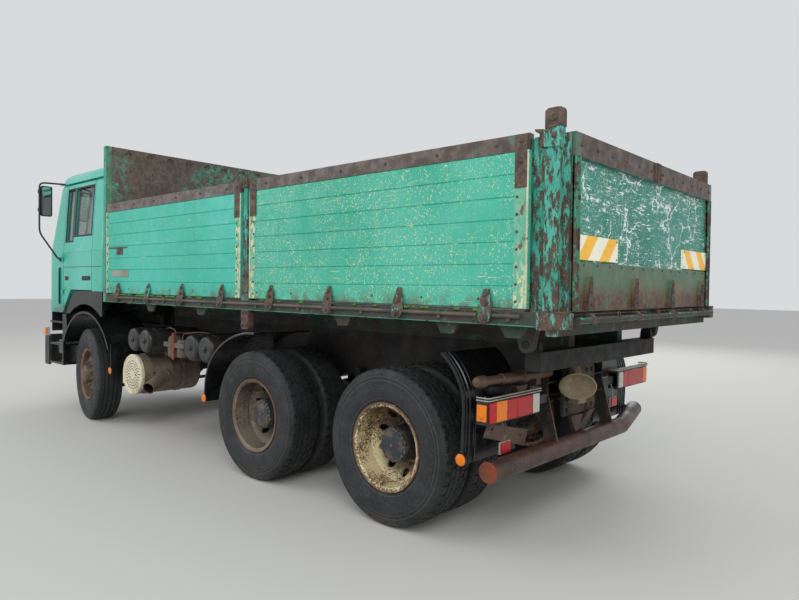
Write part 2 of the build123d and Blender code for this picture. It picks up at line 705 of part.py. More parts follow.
# Tailgate: planked skin, top rail, end irons and the pins that it swings on
gate_inner_x = gate_outer_x + gate_thickness
gate_bottom = floor_top + 6
with BuildPart() as tailgate:
    with BuildSketch(Plane.XZ.offset(-gate_half_width)):
        outline((gate_inner_x, gate_bottom), (gate_outer_x, gate_bottom), (gate_outer_x, gate_bottom + 270),
                (gate_outer_x + 12, gate_bottom + 280), (gate_outer_x + 12, flap_top - 140),
                (gate_outer_x - 14, flap_top - 140), (gate_outer_x - 14, flap_top - 12), (gate_inner_x, flap_top - 12))
    extrude(amount=2 * gate_half_width)
    for side_name, side in SIDES:
        with BuildSketch(Plane.XZ.offset(-side * (gate_half_width - 60))):
            with Locations((gate_hinge_x, gate_hinge_z)):
                Circle(14)
        extrude(amount=-side * 92)
        with BuildSketch(Plane.XZ.offset(-side * (gate_half_width - 60))):
            outline((gate_inner_x - 5, gate_hinge_z - 50), (gate_hinge_x + 24, gate_hinge_z - 20),
                    (gate_hinge_x + 24, gate_hinge_z + 24), (gate_inner_x - 5, gate_hinge_z + 24))
        extrude(amount=-side * 60)
    with BuildSketch(Plane.YZ.offset(gate_outer_x - gate_strap_depth)):
        for strap_y in (970, 320, -320, -970):
            outline((strap_y - 33, gate_bottom), (strap_y + 33, gate_bottom), (strap_y + 12, gate_bottom + 190),
                    (strap_y - 12, gate_bottom + 190))
    extrude(amount=gate_strap_depth + 8)
write(tailgate.part, "tailgate")

# Cab: plan sections from the sill up
# Columns: height, front x, half width, front corner radius
rear_corner = 50
roof_thickness = 40
cab_sections = (
    (cab_bottom, cab_front_x, cab_half_width, 300),
    (cab_belt, cab_front_x, cab_half_width, 300),
    (2790, cab_front_x - 260, cab_half_width - 50, 260),
    (2880, cab_front_x - 330, cab_half_width - 80, 240),
    (cab_roof, cab_front_x - 480, cab_half_width - 200, 200),
)


def cab_loft(rows, inset):
    """A ruled loft through plan sections that lie inset inside the cab's outer face."""
    sections = []
    for height, front_x, half_width, corner in rows:
        with BuildSketch(Plane.XY.offset(height)) as section:
            with Locations(((front_x + cab_rear_x) / 2, 0)):
                Rectangle(front_x - cab_rear_x - 2 * inset, 2 * (half_width - inset))
            fillet(section.vertices().group_by(Axis.X)[-1], corner - inset)
            fillet(section.vertices().group_by(Axis.X)[0], rear_corner - inset * 0.9)
        sections.append(section.sketch)
    loft(sections, ruled=True)


panel = 25
arch_slope = 245
tunnel_half = frame_half_width - 15
tunnel_front_x = front_axle_x + 900
tunnel_top = 1625
arch_inner_y = 640
cavity_bottom = cab_bottom + 50
inner_rows = (
    (cavity_bottom, *cab_sections[0][1:]),
    *cab_sections[1:3],
    (cab_roof - roof_thickness, *cab_sections[3][1:]),
)
screen_low = cab_belt + 45
screen_high = 2745
screen_half_low = 1060
screen_half_high = 960
window_low = 2178
window_high = 2755
rear_window_half = 620
quarter_rear_x = front_axle_x + 312
quarter_front_x = front_axle_x + 522
window_rear_x = door_rear_x + 40
window_front_x = quarter_rear_x - 40
slope_x = front_axle_x + 420


def door_outline(inset):
    """The door's side view, cut back above the wheel arch."""
    outline((door_rear_x + inset, arch_top + inset), (arch_front_x + inset * 0.4, arch_top + inset),
            (arch_front_x + 190 + inset * 0.4, door_bottom + inset), (door_front_x - inset, door_bottom + inset),
            (door_front_x - inset, door_top - inset), (door_rear_x + inset, door_top - inset))


def arch_outline(growth):
    """The wheel arch's side view: a level top and a sloping front."""
    outline((cab_rear_x - 100, cab_bottom - 1), (arch_front_x + arch_slope + growth, cab_bottom - 1),
            (arch_front_x + growth / 2, arch_top + growth), (cab_rear_x - 100, arch_top + growth))


def door_hinges(side, lift, direction):
    """Hinge barrels on the door's axis, with the leaves that carry them."""
    axis_y = cab_half_width + door_hinge_out
    for hinge_z in door_hinge_heights:
        with BuildSketch(Plane.XY.offset(hinge_z + lift)) as knuckle_plan:
            with Locations((door_front_x, side * axis_y)):
                Circle(hinge_barrel_radius)
            with Locations((door_front_x + direction * 28, side * (cab_half_width + 4))):
                Rectangle(56, 8)
        extrude(knuckle_plan.sketch, amount=hinge_barrel_height)


def side_window_outlines(inset):
    """The drop window, and the fixed quarter light in front of it."""
    outline((window_rear_x + inset, window_low + inset), (window_front_x - inset, window_low + inset),
            (window_front_x - inset, window_high - inset), (window_rear_x + inset, window_high - inset))
    outline((quarter_rear_x + inset, window_low - 60 + inset), (quarter_front_x - inset, window_low - 60 + inset),
            (quarter_front_x - inset, window_high - inset), (quarter_rear_x + inset, window_high - inset))


def screen_outline(inset):
    """The windscreen's front view."""
    outline((-screen_half_low + inset, screen_low + inset), (screen_half_low - inset, screen_low + inset),
            (screen_half_high - inset, screen_high - inset), (-screen_half_high + inset, screen_high - inset))


def rear_window_outline(inset):
    """The rear window's outline."""
    with Locations((0, (2250 + window_high) / 2)):
        RectangleRounded(2 * (rear_window_half - inset), window_high - 2250 - 2 * inset, 60)


with BuildPart() as cab_cavity:
    cab_loft(inner_rows, cab_wall)
    with BuildSketch(Plane.XY.offset(cavity_bottom - 1)):
        with Locations(((cab_rear_x + tunnel_front_x) / 2, 0)):
            Rectangle(tunnel_front_x - cab_rear_x + 2 * panel, 2 * (tunnel_half + panel))
    extrude(amount=tunnel_top + panel - cavity_bottom, mode=Mode.SUBTRACT)
    for side_name, side in SIDES:
        with BuildSketch(Plane.XZ.offset(-side * (arch_inner_y - panel))):
            arch_outline(panel)
        extrude(amount=-side * 700, mode=Mode.SUBTRACT)

with BuildPart() as cab_shell:
    cab_loft(cab_sections, 0)
    add(cab_cavity.part, mode=Mode.SUBTRACT)
    with BuildSketch(Plane.XY.offset(cab_bottom - 1)):
        with Locations(((cab_rear_x + tunnel_front_x) / 2 - 50, 0)):
            Rectangle(tunnel_front_x - cab_rear_x + 100, 2 * tunnel_half)
    extrude(amount=tunnel_top - cab_bottom, mode=Mode.SUBTRACT)
    for side_name, side in SIDES:
        with BuildSketch(Plane.XZ.offset(-side * arch_inner_y)):
            arch_outline(0)
        extrude(amount=-side * 700, mode=Mode.SUBTRACT)
        with BuildSketch(Plane.XZ.offset(-side * 1000)):
            with Locations(((door_rear_x + door_front_x) / 2, (door_bottom + door_top) / 2)):
                Rectangle(door_front_x - door_rear_x, door_top - door_bottom)
        extrude(amount=-side * 300, mode=Mode.SUBTRACT)
    with BuildSketch(Plane.YZ.offset(tunnel_front_x - 200)):
        screen_outline(0)
    extrude(amount=800, mode=Mode.SUBTRACT)
    with BuildSketch(Plane.YZ.offset(cab_rear_x - 10)):
        rear_window_outline(0)
    extrude(amount=200, mode=Mode.SUBTRACT)
    for side_name, side in SIDES:
        with BuildSketch(Plane.XZ.offset(-side * (frame_half_width + 8))):
            outline((cab_tilt_x - 160, cab_bottom + 10), (cab_tilt_x + 40, cab_bottom + 10),
                    (cab_tilt_x + 40, cab_tilt_z), (cab_tilt_x - 40, cab_tilt_z))
            with Locations((cab_tilt_x, cab_tilt_z)):
                Circle(40)
                Circle(cab_pin_radius + seat_gap, mode=Mode.SUBTRACT)
        extrude(amount=-side * 24)
    for side_name, side in SIDES:
        door_hinges(side, 0, 1)
write(cab_shell.part, "cab_shell")

# Doors: the cab's own wall inside the door outline, with both windows cut
with BuildPart() as door_core:
    cab_loft([(cab_bottom - 5, *cab_sections[0][1:])] + list(cab_sections[1:4]), cab_wall)
for side_name, side in SIDES:
    with BuildPart() as door:
        cab_loft(cab_sections[:4], 0)
        add(door_core.part, mode=Mode.SUBTRACT)
        with BuildSketch(Plane.XZ.offset(-side * 1000)):
            door_outline(door_gap)
        extrude(amount=-side * 300, mode=Mode.INTERSECT)
        with BuildSketch(Plane.XZ.offset(-side * 1000)):
            side_window_outlines(0)
        extrude(amount=-side * 300, mode=Mode.SUBTRACT)
        door_hinges(side, hinge_barrel_height + seat_gap, -1)
    write(door.part, f"door_{side_name}")

# Glass: panes that follow the wall, midway through its thickness
glass_depth = 20
glass_thickness = 6
with BuildPart() as glass_core:
    cab_loft(cab_sections[:4], glass_depth + glass_thickness)
with BuildPart() as pane_space:
    with BuildSketch(Plane.YZ.offset(cab_rear_x - 10)):
        rear_window_outline(seat_gap)
    extrude(amount=200)
    with BuildSketch(Plane.YZ.offset(tunnel_front_x - 200)):
        screen_outline(seat_gap)
    extrude(amount=800)
with BuildPart() as cab_glass:
    cab_loft(cab_sections[:4], glass_depth)
    add(glass_core.part, mode=Mode.SUBTRACT)
    add(pane_space.part, mode=Mode.INTERSECT)
write(cab_glass.part, "cab_glass")

for side_name, side in SIDES:
    with BuildPart() as door_glass:
        cab_loft(cab_sections[:4], glass_depth)
        add(glass_core.part, mode=Mode.SUBTRACT)
        with BuildSketch(Plane.XZ.offset(-side * 1000)):
            side_window_outlines(seat_gap)
        extrude(amount=-side * 300, mode=Mode.INTERSECT)
    write(door_glass.part, f"door_glass_{side_name}")

# Radiator grille on the cab's front, with the apron below it
step_front_x = front_axle_x + 1060
grille_half = 620
grille_low = 1130
slat_count = 7
slat_pitch = 95
with BuildPart() as front_grille:
    with BuildSketch(Plane.XY.offset(cab_tilt_z - 5)):
        with Locations(((cab_front_x + cab_front_x - 330) / 2, 0)):
            Rectangle(330, 2 * cab_half_width)
    extrude(amount=cab_bottom - cab_tilt_z + 5 - seat_gap)
    fillet(front_grille.edges().filter_by(Axis.Z).group_by(Axis.X)[-1], 300)
    with BuildSketch(Plane.XY.offset(cab_tilt_z - 10)):
        with Locations((cab_front_x - 330 + 140, 0)):
            Rectangle(280, 2 * cab_half_width - 420)
    extrude(amount=400, mode=Mode.SUBTRACT)
    with BuildSketch(Plane.XY.offset(cab_tilt_z - 10)):
        with Locations((step_front_x + 15 - 300, 0)):
            Rectangle(600, 2 * cab_half_width + 10)
    extrude(amount=400, mode=Mode.SUBTRACT)
    with BuildSketch(Plane.XZ.offset(-grille_half)):
        for slat in range(slat_count):
            base = grille_low + 130 + slat * slat_pitch
            outline((cab_front_x + 0.3, base), (cab_front_x + 30, base + 10), (cab_front_x + 30, base + 24),
                    (cab_front_x + 0.3, base + 60))
    extrude(amount=2 * grille_half)
    with BuildSketch(Plane.YZ.offset(cab_front_x + seat_gap)):
        with Locations((0, grille_low + 130 + slat_count * slat_pitch / 2)):
            Rectangle(2 * grille_half + 60, slat_count * slat_pitch + 40)
            Rectangle(2 * grille_half - 10, slat_count * slat_pitch - 30, mode=Mode.SUBTRACT)
    extrude(amount=18)
write(front_grille.part, "front_grille")

# Seats, dashboard and steering wheel
seat_x = cab_rear_x + 480
seat_base = tunnel_top + panel + seat_gap
seat_y = 640
driver_y = 590
with BuildPart() as seats:
    for side_name, side in SIDES:
        with BuildSketch(Plane.XZ.offset(-side * seat_y - 240)):
            outline((seat_x - 180, seat_base), (seat_x + 180, seat_base),
                    (seat_x + 160, seat_base + 130), (seat_x + 270, seat_base + 150), (seat_x + 270, seat_base + 250),
                    (seat_x - 180, seat_base + 230), (seat_x - 290, seat_base + 880),
                    (seat_x - 390, seat_base + 860), (seat_x - 270, seat_base + 130))
        extrude(amount=480)
    fillet(seats.edges().filter_by(Axis.Y), 12)
    with BuildSketch(Plane.XY.offset(arch_top + panel + seat_gap)):
        for side_name, side in SIDES:
            with Locations((seat_x, side * (seat_y + 30))):
                Rectangle(300, 380)
    extrude(amount=tunnel_top - arch_top)
write(seats.part, "seats")

steering_tilt = 35
wheel_centre = Vector(cab_front_x - 620, driver_y, cab_belt + 60)
column_axis = Vector(sin(radians(steering_tilt)), 0, -cos(radians(steering_tilt)))
wheel_radius = 225
wheel_rim = 22
column_plane = Plane(origin=wheel_centre, x_dir=(0, 1, 0), z_dir=column_axis)
with BuildPart() as dashboard:
    with BuildSketch(Plane.XZ.offset(-(cab_half_width - 330))):
        outline((cab_front_x - 420, tunnel_top + 120), (cab_front_x - cab_wall - seat_gap, tunnel_top + 60),
                (cab_front_x - cab_wall - seat_gap, cab_belt - 40), (cab_front_x - 330, cab_belt + 10),
                (cab_front_x - 440, cab_belt - 80))
    extrude(amount=2 * (cab_half_width - 330))
    with BuildSketch(column_plane.offset(wheel_rim + seat_gap)):
        Circle(30)
    extrude(amount=320)
write(dashboard.part, "dashboard")

with BuildPart() as steering_wheel:
    with BuildSketch(column_plane):
        Circle(wheel_radius)
        Circle(wheel_radius - 28, mode=Mode.SUBTRACT)
        Circle(50)
        for turn in (0, 90):
            Rectangle(2 * wheel_radius - 30, 36, rotation=turn)
    extrude(amount=wheel_rim)
write(steering_wheel.part, "steering_wheel")

# Mirrors: a bent tube arm off the windscreen pillar and a head that faces rearward
mirror_x = door_front_x + 105
mirror_y = 1385
mirror_low = 2405
mirror_high = 2810
arm_radius = 14
for side_name, side in SIDES:
    with BuildPart() as mirror_assembly:
        with BuildLine() as arm_line:
            Polyline((mirror_x - 20, side * (cab_half_width + seat_gap), 1903), (mirror_x - 20, side * (cab_half_width + 40), 1903),
                     (mirror_x + 10, side * (mirror_y + 80), 2255), (mirror_x + 10, side * (mirror_y + 20), 2850),
                     (mirror_x - 20, side * (cab_half_width - 20), 2835), (mirror_x - 20, side * (cab_half_width - 59), 2835))
        with BuildSketch(Plane(origin=arm_line.wires()[0] @ 0, z_dir=arm_line.wires()[0] % 0)):
            Circle(arm_radius)
        sweep(path=arm_line.wires()[0], transition=Transition.RIGHT)
        with BuildSketch(Plane.YZ.offset(mirror_x - 30)):
            with Locations((side * mirror_y, (mirror_low + mirror_high) / 2)):
                RectangleRounded(180, mirror_high - mirror_low, 35)
        extrude(amount=60)
    write(mirror_assembly.part, f"mirror_{side_name}")

# Front mudguards and entry steps, fixed to the frame
guard_outer_y = 1200
guard_inner_y = 700
guard_radius = 690
guard_thickness = 25
guard_centre_z = tyre_radius + 30
step_rear_x = front_axle_x + 625
trim_bottom = cab_bottom - 10
with BuildPart() as front_mudguards:
    for side_name, side in SIDES:
        with BuildSketch(Plane.XZ.offset(-side * guard_outer_y)):
            with Locations((front_axle_x, guard_centre_z)):
                Circle(guard_radius + guard_thickness)
                Circle(guard_radius, mode=Mode.SUBTRACT)
            with Locations((front_axle_x, 0)):
                Rectangle(3000, 2 * 880, mode=Mode.SUBTRACT)
        extrude(amount=side * (guard_outer_y - guard_inner_y))
        with BuildSketch(Plane.XZ.offset(-side * guard_outer_y)):
            outline((step_rear_x + 25, trim_bottom - 10), (step_rear_x + 25, 590), (step_rear_x - 5, 590),
                    (front_axle_x + guard_radius - 60, 889), (front_axle_x + 560, 1000),
                    (front_axle_x + 510, 1080), (front_axle_x + 540, trim_bottom - 10))
        extrude(amount=side * 30)
        with BuildSketch(Plane.XZ.offset(-side * (guard_outer_y - 200))):
            for step_z in (590, 830, 1110):
                with Locations(((step_rear_x + step_front_x) / 2, step_z + 12)):
                    Rectangle(step_front_x - step_rear_x, 24)
        extrude(amount=-side * 195)
        with BuildSketch(Plane.XZ.offset(-side * (guard_outer_y - 200))):
            outline((step_rear_x, 590), (step_front_x, 590), (step_front_x, cab_bottom - 60),
                    (step_rear_x + 60, cab_bottom - 20), (step_rear_x, cab_bottom - 20))
        extrude(amount=-side * 14)
        with BuildSketch(Plane.XY.offset(frame_bottom + 60)):
            with Locations((step_rear_x + 60, side * (guard_outer_y - 200 + frame_half_width) / 2)):
                Rectangle(60, guard_outer_y - 200 - frame_half_width)
            with Locations((front_axle_x - guard_radius + 15, side * (guard_inner_y + 120 + frame_half_width) / 2)):
                Rectangle(50, guard_inner_y + 120 - frame_half_width)
        extrude(amount=50)
write(front_mudguards.part, "front_mudguards")

# Wheel arch trims: moulded panels under the cab's arch edges, carried by the cab, set back from the swing of the door
trim_setback = 24
with BuildPart() as arch_trims:
    for side_name, side in SIDES:
        with BuildSketch(Plane.XZ.offset(-side * guard_outer_y)):
            outline((front_axle_x - 480, trim_bottom), (front_axle_x - 480, arch_top - seat_gap),
                    (arch_front_x - trim_setback, arch_top - seat_gap),
                    (arch_front_x + arch_slope - trim_setback, cab_bottom - seat_gap),
                    (arch_front_x + arch_slope - trim_setback + 9, trim_bottom))
            with Locations((front_axle_x, guard_centre_z)):
                Circle(guard_radius + 110, mode=Mode.SUBTRACT)
        extrude(amount=side * 30)
        with BuildSketch(Plane.XZ.offset(-side * (guard_outer_y - 20))):
            outline((front_axle_x - 480, arch_top - 60), (front_axle_x - 480, arch_top - seat_gap),
                    (arch_front_x - trim_setback, arch_top - seat_gap), (arch_front_x - trim_setback - 24, arch_top - 60))
        extrude(amount=side * (guard_outer_y - 20 - arch_inner_y - 60))
write(arch_trims.part, "arch_trims")

# Front bumper, wrapped round both corners
bumper_low = 560
bumper_high = 930
with BuildPart() as front_bumper:
    with BuildSketch(Plane.XY.offset(bumper_low)) as bumper_plan:
        with Locations((front_end_x - 150, 0)):
            Rectangle(300, 2 * guard_outer_y)
        fillet(bumper_plan.vertices().group_by(Axis.X)[-1], 200)
    extrude(amount=bumper_high - bumper_low)
    with BuildSketch(Plane.XY.offset(bumper_low - 1)) as bumper_hollow:
        with Locations((front_end_x - 180, 0)):
            Rectangle(300, 2 * guard_outer_y - 60)
        fillet(bumper_hollow.vertices().group_by(Axis.X)[-1], 170)
    extrude(amount=bumper_high - bumper_low + 2, mode=Mode.SUBTRACT)
    with BuildSketch(Plane.YZ.offset(front_end_x - 60)):
        for lamp_y in (820, -820):
            with Locations((lamp_y, bumper_low + 200)):
                RectangleRounded(330, 190, 30)
    extrude(amount=100, mode=Mode.SUBTRACT)
    for side_name, side in SIDES:
        with BuildSketch(Plane.XY.offset(frame_bottom)):
            with Locations(((frame_front_x + seat_gap + front_end_x - 25) / 2, side * 380)):
                Rectangle(front_end_x - 25 - frame_front_x - seat_gap, 70)
        extrude(amount=40)
write(front_bumper.part, "front_bumper")

with BuildPart() as front_lamps:
    with BuildSketch(Plane.YZ.offset(front_end_x - 58)):
        for lamp_y in (820, -820):
            with Locations((lamp_y, bumper_low + 200)):
                RectangleRounded(329, 189, 30)
    extrude(amount=48)
    for side_name, side in SIDES:
        with BuildSketch(Plane.XY.offset(bumper_high + seat_gap)):
            with Locations((cab_tilt_x + 80, side * (guard_outer_y - 17))):
                Rectangle(70, 32)
        extrude(amount=110)
write(front_lamps.part, "front_lamps")

# Rear mudguards: a flap behind the rear wheels that curls over them, and one in front of the middle pair
guard_inner = 590
guard_sheet = 10
# Columns: wheel x, direction away from the bogie, x of the bracket, then x and z of foot, knee, shoulder and top
guard_rows = (
    (rear_axle_x, -1, 655, (645, 545), (655, 880), (618, 1050), (480, 1215)),
    (middle_axle_x, 1, 666, (745, 560), (740, 680), (560, 1030), (0, 1215)),
)
with BuildPart() as rear_mudguards:
    for wheel_x, direction, bracket_x, *stations in guard_rows:
        foot, knee, shoulder, top = [(wheel_x + direction * along, height) for along, height in stations]
        for side_name, side in SIDES:
            with BuildSketch(Plane.XZ.offset(-side * 1200)):
                with BuildLine():
                    Line(foot, knee)
                    bend = TangentArc(knee, shoulder, tangent=(knee[0] - foot[0], knee[1] - foot[1]))
                    TangentArc(shoulder, top, tangent=bend % 1)
                    offset(amount=guard_sheet / 2)
                make_face()
            extrude(amount=side * (1200 - guard_inner))
            with BuildSketch(Plane.XZ.offset(-side * (guard_inner + 10))):
                with Locations((wheel_x + direction * bracket_x, 900)):
                    Rectangle(40, 40)
            extrude(amount=side * (guard_inner + 10 - frame_half_width))
write(rear_mudguards.part, "rear_mudguards")

# Air tanks: four across the frame in two stacks, with domed ends
# Columns: x, z, outer end y
tank_radius = 125
tank_length = 620
tank_places = ((rear_axle_x + 3757, 1022, 1150), (rear_axle_x + 3500, 1022, 1150),
               (rear_axle_x + 2589, 1018, 1150), (rear_axle_x + 2334, 1018, 1150))
with BuildPart() as air_tanks:
    for tank_x, tank_z, end_y in tank_places:
        with BuildSketch(Plane.XZ.offset(-end_y)):
            with Locations((tank_x, tank_z)):
                Circle(tank_radius)
        extrude(amount=tank_length)
        fillet(air_tanks.faces().filter_by(Axis.Y).edges().filter_by(GeomType.CIRCLE).filter_by(
            lambda edge, x=tank_x: abs(edge.arc_center.X - x) < 1), 35)
        with BuildSketch(Plane.XY.offset(tank_z - 30)):
            with Locations((tank_x, (end_y - tank_length + frame_half_width) / 2)):
                Rectangle(60, end_y - tank_length - frame_half_width)
        extrude(amount=60)
write(air_tanks.part, "air_tanks")

# Silencer across the truck behind the front wheel, with its tailpipe
with BuildPart() as exhaust:
    with BuildSketch(Plane.XZ.offset(-1130)):
        with Locations((rear_axle_x + 3790, 640)):
            Circle(215)
    extrude(amount=700)
    with BuildSketch(Plane.XZ.offset(-1130)):
        with Locations((rear_axle_x + 3330, 560)):
            Circle(58)
            Circle(52, mode=Mode.SUBTRACT)
    extrude(amount=330)
    with BuildSketch(Plane.YZ.offset(rear_axle_x + 3320)):
        with Locations((840, 560)):
            Circle(50)
    extrude(amount=330)
    with BuildSketch(Plane.XY.offset(640)):
        with Locations((rear_axle_x + 3790, 470)):
            Rectangle(60, 90)
    extrude(amount=260)
write(exhaust.part, "exhaust")

# Fuel tank and battery box on the right
with BuildPart() as fuel_tank:
    with BuildSketch(Plane.YZ.offset(rear_axle_x + 2750)) as tank_section:
        with Locations((-830, 830)):
            RectangleRounded(620, 600, 70)
    extrude(amount=1000)
    with BuildSketch(Plane.YZ.offset(rear_axle_x + 2950)):
        with Locations((-(frame_half_width + 520) / 2, 1090)):
            Rectangle(520 - frame_half_width, 60)
    extrude(amount=60)
    with BuildSketch(Plane.YZ.offset(rear_axle_x + 3500)):
        with Locations((-(frame_half_width + 520) / 2, 1090)):
            Rectangle(520 - frame_half_width, 60)
    extrude(amount=60)
write(fuel_tank.part, "fuel_tank")

with BuildPart() as battery_box:
    with BuildSketch(Plane.XY.offset(640)):
        with Locations((rear_axle_x + 2510, -(frame_half_width + seat_gap + 330))):
            RectangleRounded(440, 660, 20)
    extrude(amount=430)
write(battery_box.part, "battery_box")

# Underrun bar: a tube with bent ends on two hangers
underrun_x = rear_axle_x - 860
underrun_z = 545
underrun_radius = 64
with BuildPart() as underrun_bar:
    with BuildLine() as bar_line:
        Polyline((underrun_x, 1220, underrun_z), (underrun_x, -650, underrun_z), (underrun_x + 110, -1180, underrun_z + 50))
    with BuildSketch(Plane(origin=(underrun_x, 1220, underrun_z), z_dir=(0, -1, 0))):
        Circle(underrun_radius)
    sweep(path=bar_line.wires()[0], transition=Transition.RIGHT)
    for side_name, side in SIDES:
        with BuildSketch(Plane.XZ.offset(-side * frame_half_width)):
            outline((underrun_x - 40, underrun_z), (underrun_x + 60, underrun_z), (frame_rear_x + 110, frame_bottom + 120),
                    (frame_rear_x + 10, frame_bottom + 120))
        extrude(amount=-side * 14)
write(underrun_bar.part, "underrun_bar")

# Tow coupling: cross plate, body and the guiding funnel
coupling_z = 900
with BuildPart() as tow_coupling:
    with BuildSketch(Plane.YZ.offset(frame_rear_x - 20)):
        with Locations((0, coupling_z)):
            Rectangle(500, 360)
    extrude(amount=20 - seat_gap)
    with BuildSketch(Plane.XZ):
        outline((frame_rear_x - 10, coupling_z), (frame_rear_x - 10, coupling_z + 70),
                (frame_rear_x - 40, coupling_z + 70), (frame_rear_x - 110, coupling_z + 150),
                (frame_rear_x - 110, coupling_z + 138), (frame_rear_x - 50, coupling_z + 40),
                (frame_rear_x - 50, coupling_z))
    revolve(axis=Axis((0, 0, coupling_z), (1, 0, 0)))
write(tow_coupling.part, "tow_coupling")

# Tail lamps on brackets off the frame's end
# Columns: side, centre y, centre z, width
lamp_rows = ((1, 905, 885, 600), (-1, 915, 905, 590))
bracket_start = frame_half_width + 14 + seat_gap
with BuildPart() as tail_lamps:
    for side, lamp_y, lamp_z, lamp_width in lamp_rows:
        with BuildSketch(Plane.YZ.offset(frame_rear_x - 35)):
            with Locations((side * lamp_y, lamp_z)):
                RectangleRounded(lamp_width, 140, 20)
        extrude(amount=60)
        with BuildSketch(Plane.XY.offset(lamp_z - 30)):
            with Locations((frame_rear_x + 15, side * (bracket_start + lamp_y) / 2)):
                Rectangle(40, lamp_y - bracket_start)
        extrude(amount=60)
write(tail_lamps.part, "tail_lamps")
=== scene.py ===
"""Looks of a three-axle tipper truck: finishes, wear, tyres, trim and small hardware.

Metres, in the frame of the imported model: +X forward, +Y to the left, +Z up. Stations along the truck are
measured from the rear axle, or from a line of the cab, and heights from the floor.
"""
from math import cos, pi, radians, sin
from random import Random

import bmesh
import bpy
from mathutils import Matrix, Vector


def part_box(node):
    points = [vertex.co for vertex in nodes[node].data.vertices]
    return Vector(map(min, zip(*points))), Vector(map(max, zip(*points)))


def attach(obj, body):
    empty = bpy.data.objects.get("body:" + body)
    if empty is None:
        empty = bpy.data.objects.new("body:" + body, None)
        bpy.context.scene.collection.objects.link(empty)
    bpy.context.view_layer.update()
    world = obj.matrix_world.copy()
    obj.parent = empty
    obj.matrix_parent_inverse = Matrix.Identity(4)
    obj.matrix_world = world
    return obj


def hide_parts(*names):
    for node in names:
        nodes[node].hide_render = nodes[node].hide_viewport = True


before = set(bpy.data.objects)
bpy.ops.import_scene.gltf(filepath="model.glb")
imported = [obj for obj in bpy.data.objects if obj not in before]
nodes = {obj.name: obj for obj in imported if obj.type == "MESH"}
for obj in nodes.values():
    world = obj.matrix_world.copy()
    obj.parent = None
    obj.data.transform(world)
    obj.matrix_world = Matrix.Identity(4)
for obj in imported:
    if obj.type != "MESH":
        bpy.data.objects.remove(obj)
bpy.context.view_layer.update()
SIDES = (("left", 1), ("right", -1))
X_AXIS, Y_AXIS, Z_AXIS = Vector((1, 0, 0)), Vector((0, 1, 0)), Vector((0, 0, 1))
BACK = (-1, 0, 0)

# Sizes shared with the solids
tyre_radius = 0.539
twin_spacing = 0.34
twin_middle = 0.895
rest_steer = radians(-8.8)
bogie_spacing = 1.5
middle_to_front = 3.37
flap_face = 1.236
flap_bottom = 1.512
rail_bottom = 2.395
hinge_y = 1.262
hinge_z = 1.452
gate_half = 1.164
gate_seam = 1.781


def middle_of(node):
    low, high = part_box(node)
    return (Vector(low) + Vector(high)) / 2


rear_x = middle_of("tyre_rear_left").x
middle_x = rear_x + bogie_spacing
front_x = middle_x + middle_to_front

# Camera, solved from the photograph's vanishing lines
image_width = 799
focal_pixels = 645.4
sensor_width = 36.0
camera_from_rear_axle = Vector((-2.976, 4.367, 1.629))
camera_yaw = -0.838
camera_pitch = -0.021
camera_roll = -0.014


def add_object(name, data):
    made = bpy.data.objects.new(name, data)
    bpy.context.scene.collection.objects.link(made)
    return made


def add_camera():
    forward = Vector((cos(camera_yaw) * cos(camera_pitch), sin(camera_yaw) * cos(camera_pitch),
                      sin(camera_pitch)))
    right = forward.cross(Z_AXIS).normalized()
    down = forward.cross(right)
    turned_right = cos(camera_roll) * right + sin(camera_roll) * down
    turned_down = -sin(camera_roll) * right + cos(camera_roll) * down
    data = bpy.data.cameras.new("camera")
    data.sensor_width = sensor_width
    data.lens = focal_pixels * sensor_width / image_width
    data.clip_end = 200
    camera = add_object("camera", data)
    axes = Matrix((turned_right, -turned_down, -forward)).transposed().to_4x4()
    camera.matrix_world = Matrix.Translation(camera_from_rear_axle + Vector((rear_x, 0, 0))) @ axes
    bpy.context.scene.camera = camera


# Columns: name, place, energy, size
lamp_rows = (("key", (-10, 10, 9), 900, 8), ("fill", (9, 10, 7), 450, 9), ("back", (2, -12, 8), 450, 8))
floor_reach = 60


def add_stage():
    """A pale floor, a pale world and three soft lamps that look at the truck's middle."""
    world = bpy.data.worlds.new("studio")
    world.use_nodes = True
    background = world.node_tree.nodes["Background"]
    background.inputs["Color"].default_value = (0.86, 0.88, 0.9, 1)
    background.inputs["Strength"].default_value = 0.8
    bpy.context.scene.world = world
    mesh = bpy.data.meshes.new("floor")
    corners = [(floor_reach * x, floor_reach * y, 0) for x, y in ((-1, -1), (1, -1), (1, 1), (-1, 1))]
    mesh.from_pydata(corners, [], [(0, 1, 2, 3)])
    material = bpy.data.materials.new("floor_pale")
    material.use_nodes = True
    shader = material.node_tree.nodes["Principled BSDF"]
    shader.inputs["Base Color"].default_value = (0.6, 0.59, 0.57, 1)
    shader.inputs["Roughness"].default_value = 0.9
    mesh.materials.append(material)
    add_object("floor", mesh)
    for name, place, energy, size in lamp_rows:
        data = bpy.data.lights.new(name, "AREA")
        data.energy = energy
        data.size = size
        lamp = add_object(name, data)
        lamp.location = place
        lamp.rotation_euler = (Vector((0, 0, 1.2)) - Vector(place)).to_track_quat("-Z", "Y").to_euler()


# Materials: colours are 8-bit display values, and levels are numbers that vary over the surface

def srgb(red, green, blue):
    """Linear colour from 8-bit display values."""
    def linear(value):
        value /= 255
        return value / 12.92 if value <= 0.04045 else ((value + 0.055) / 1.055) ** 2.4
    return (linear(red), linear(green), linear(blue), 1)


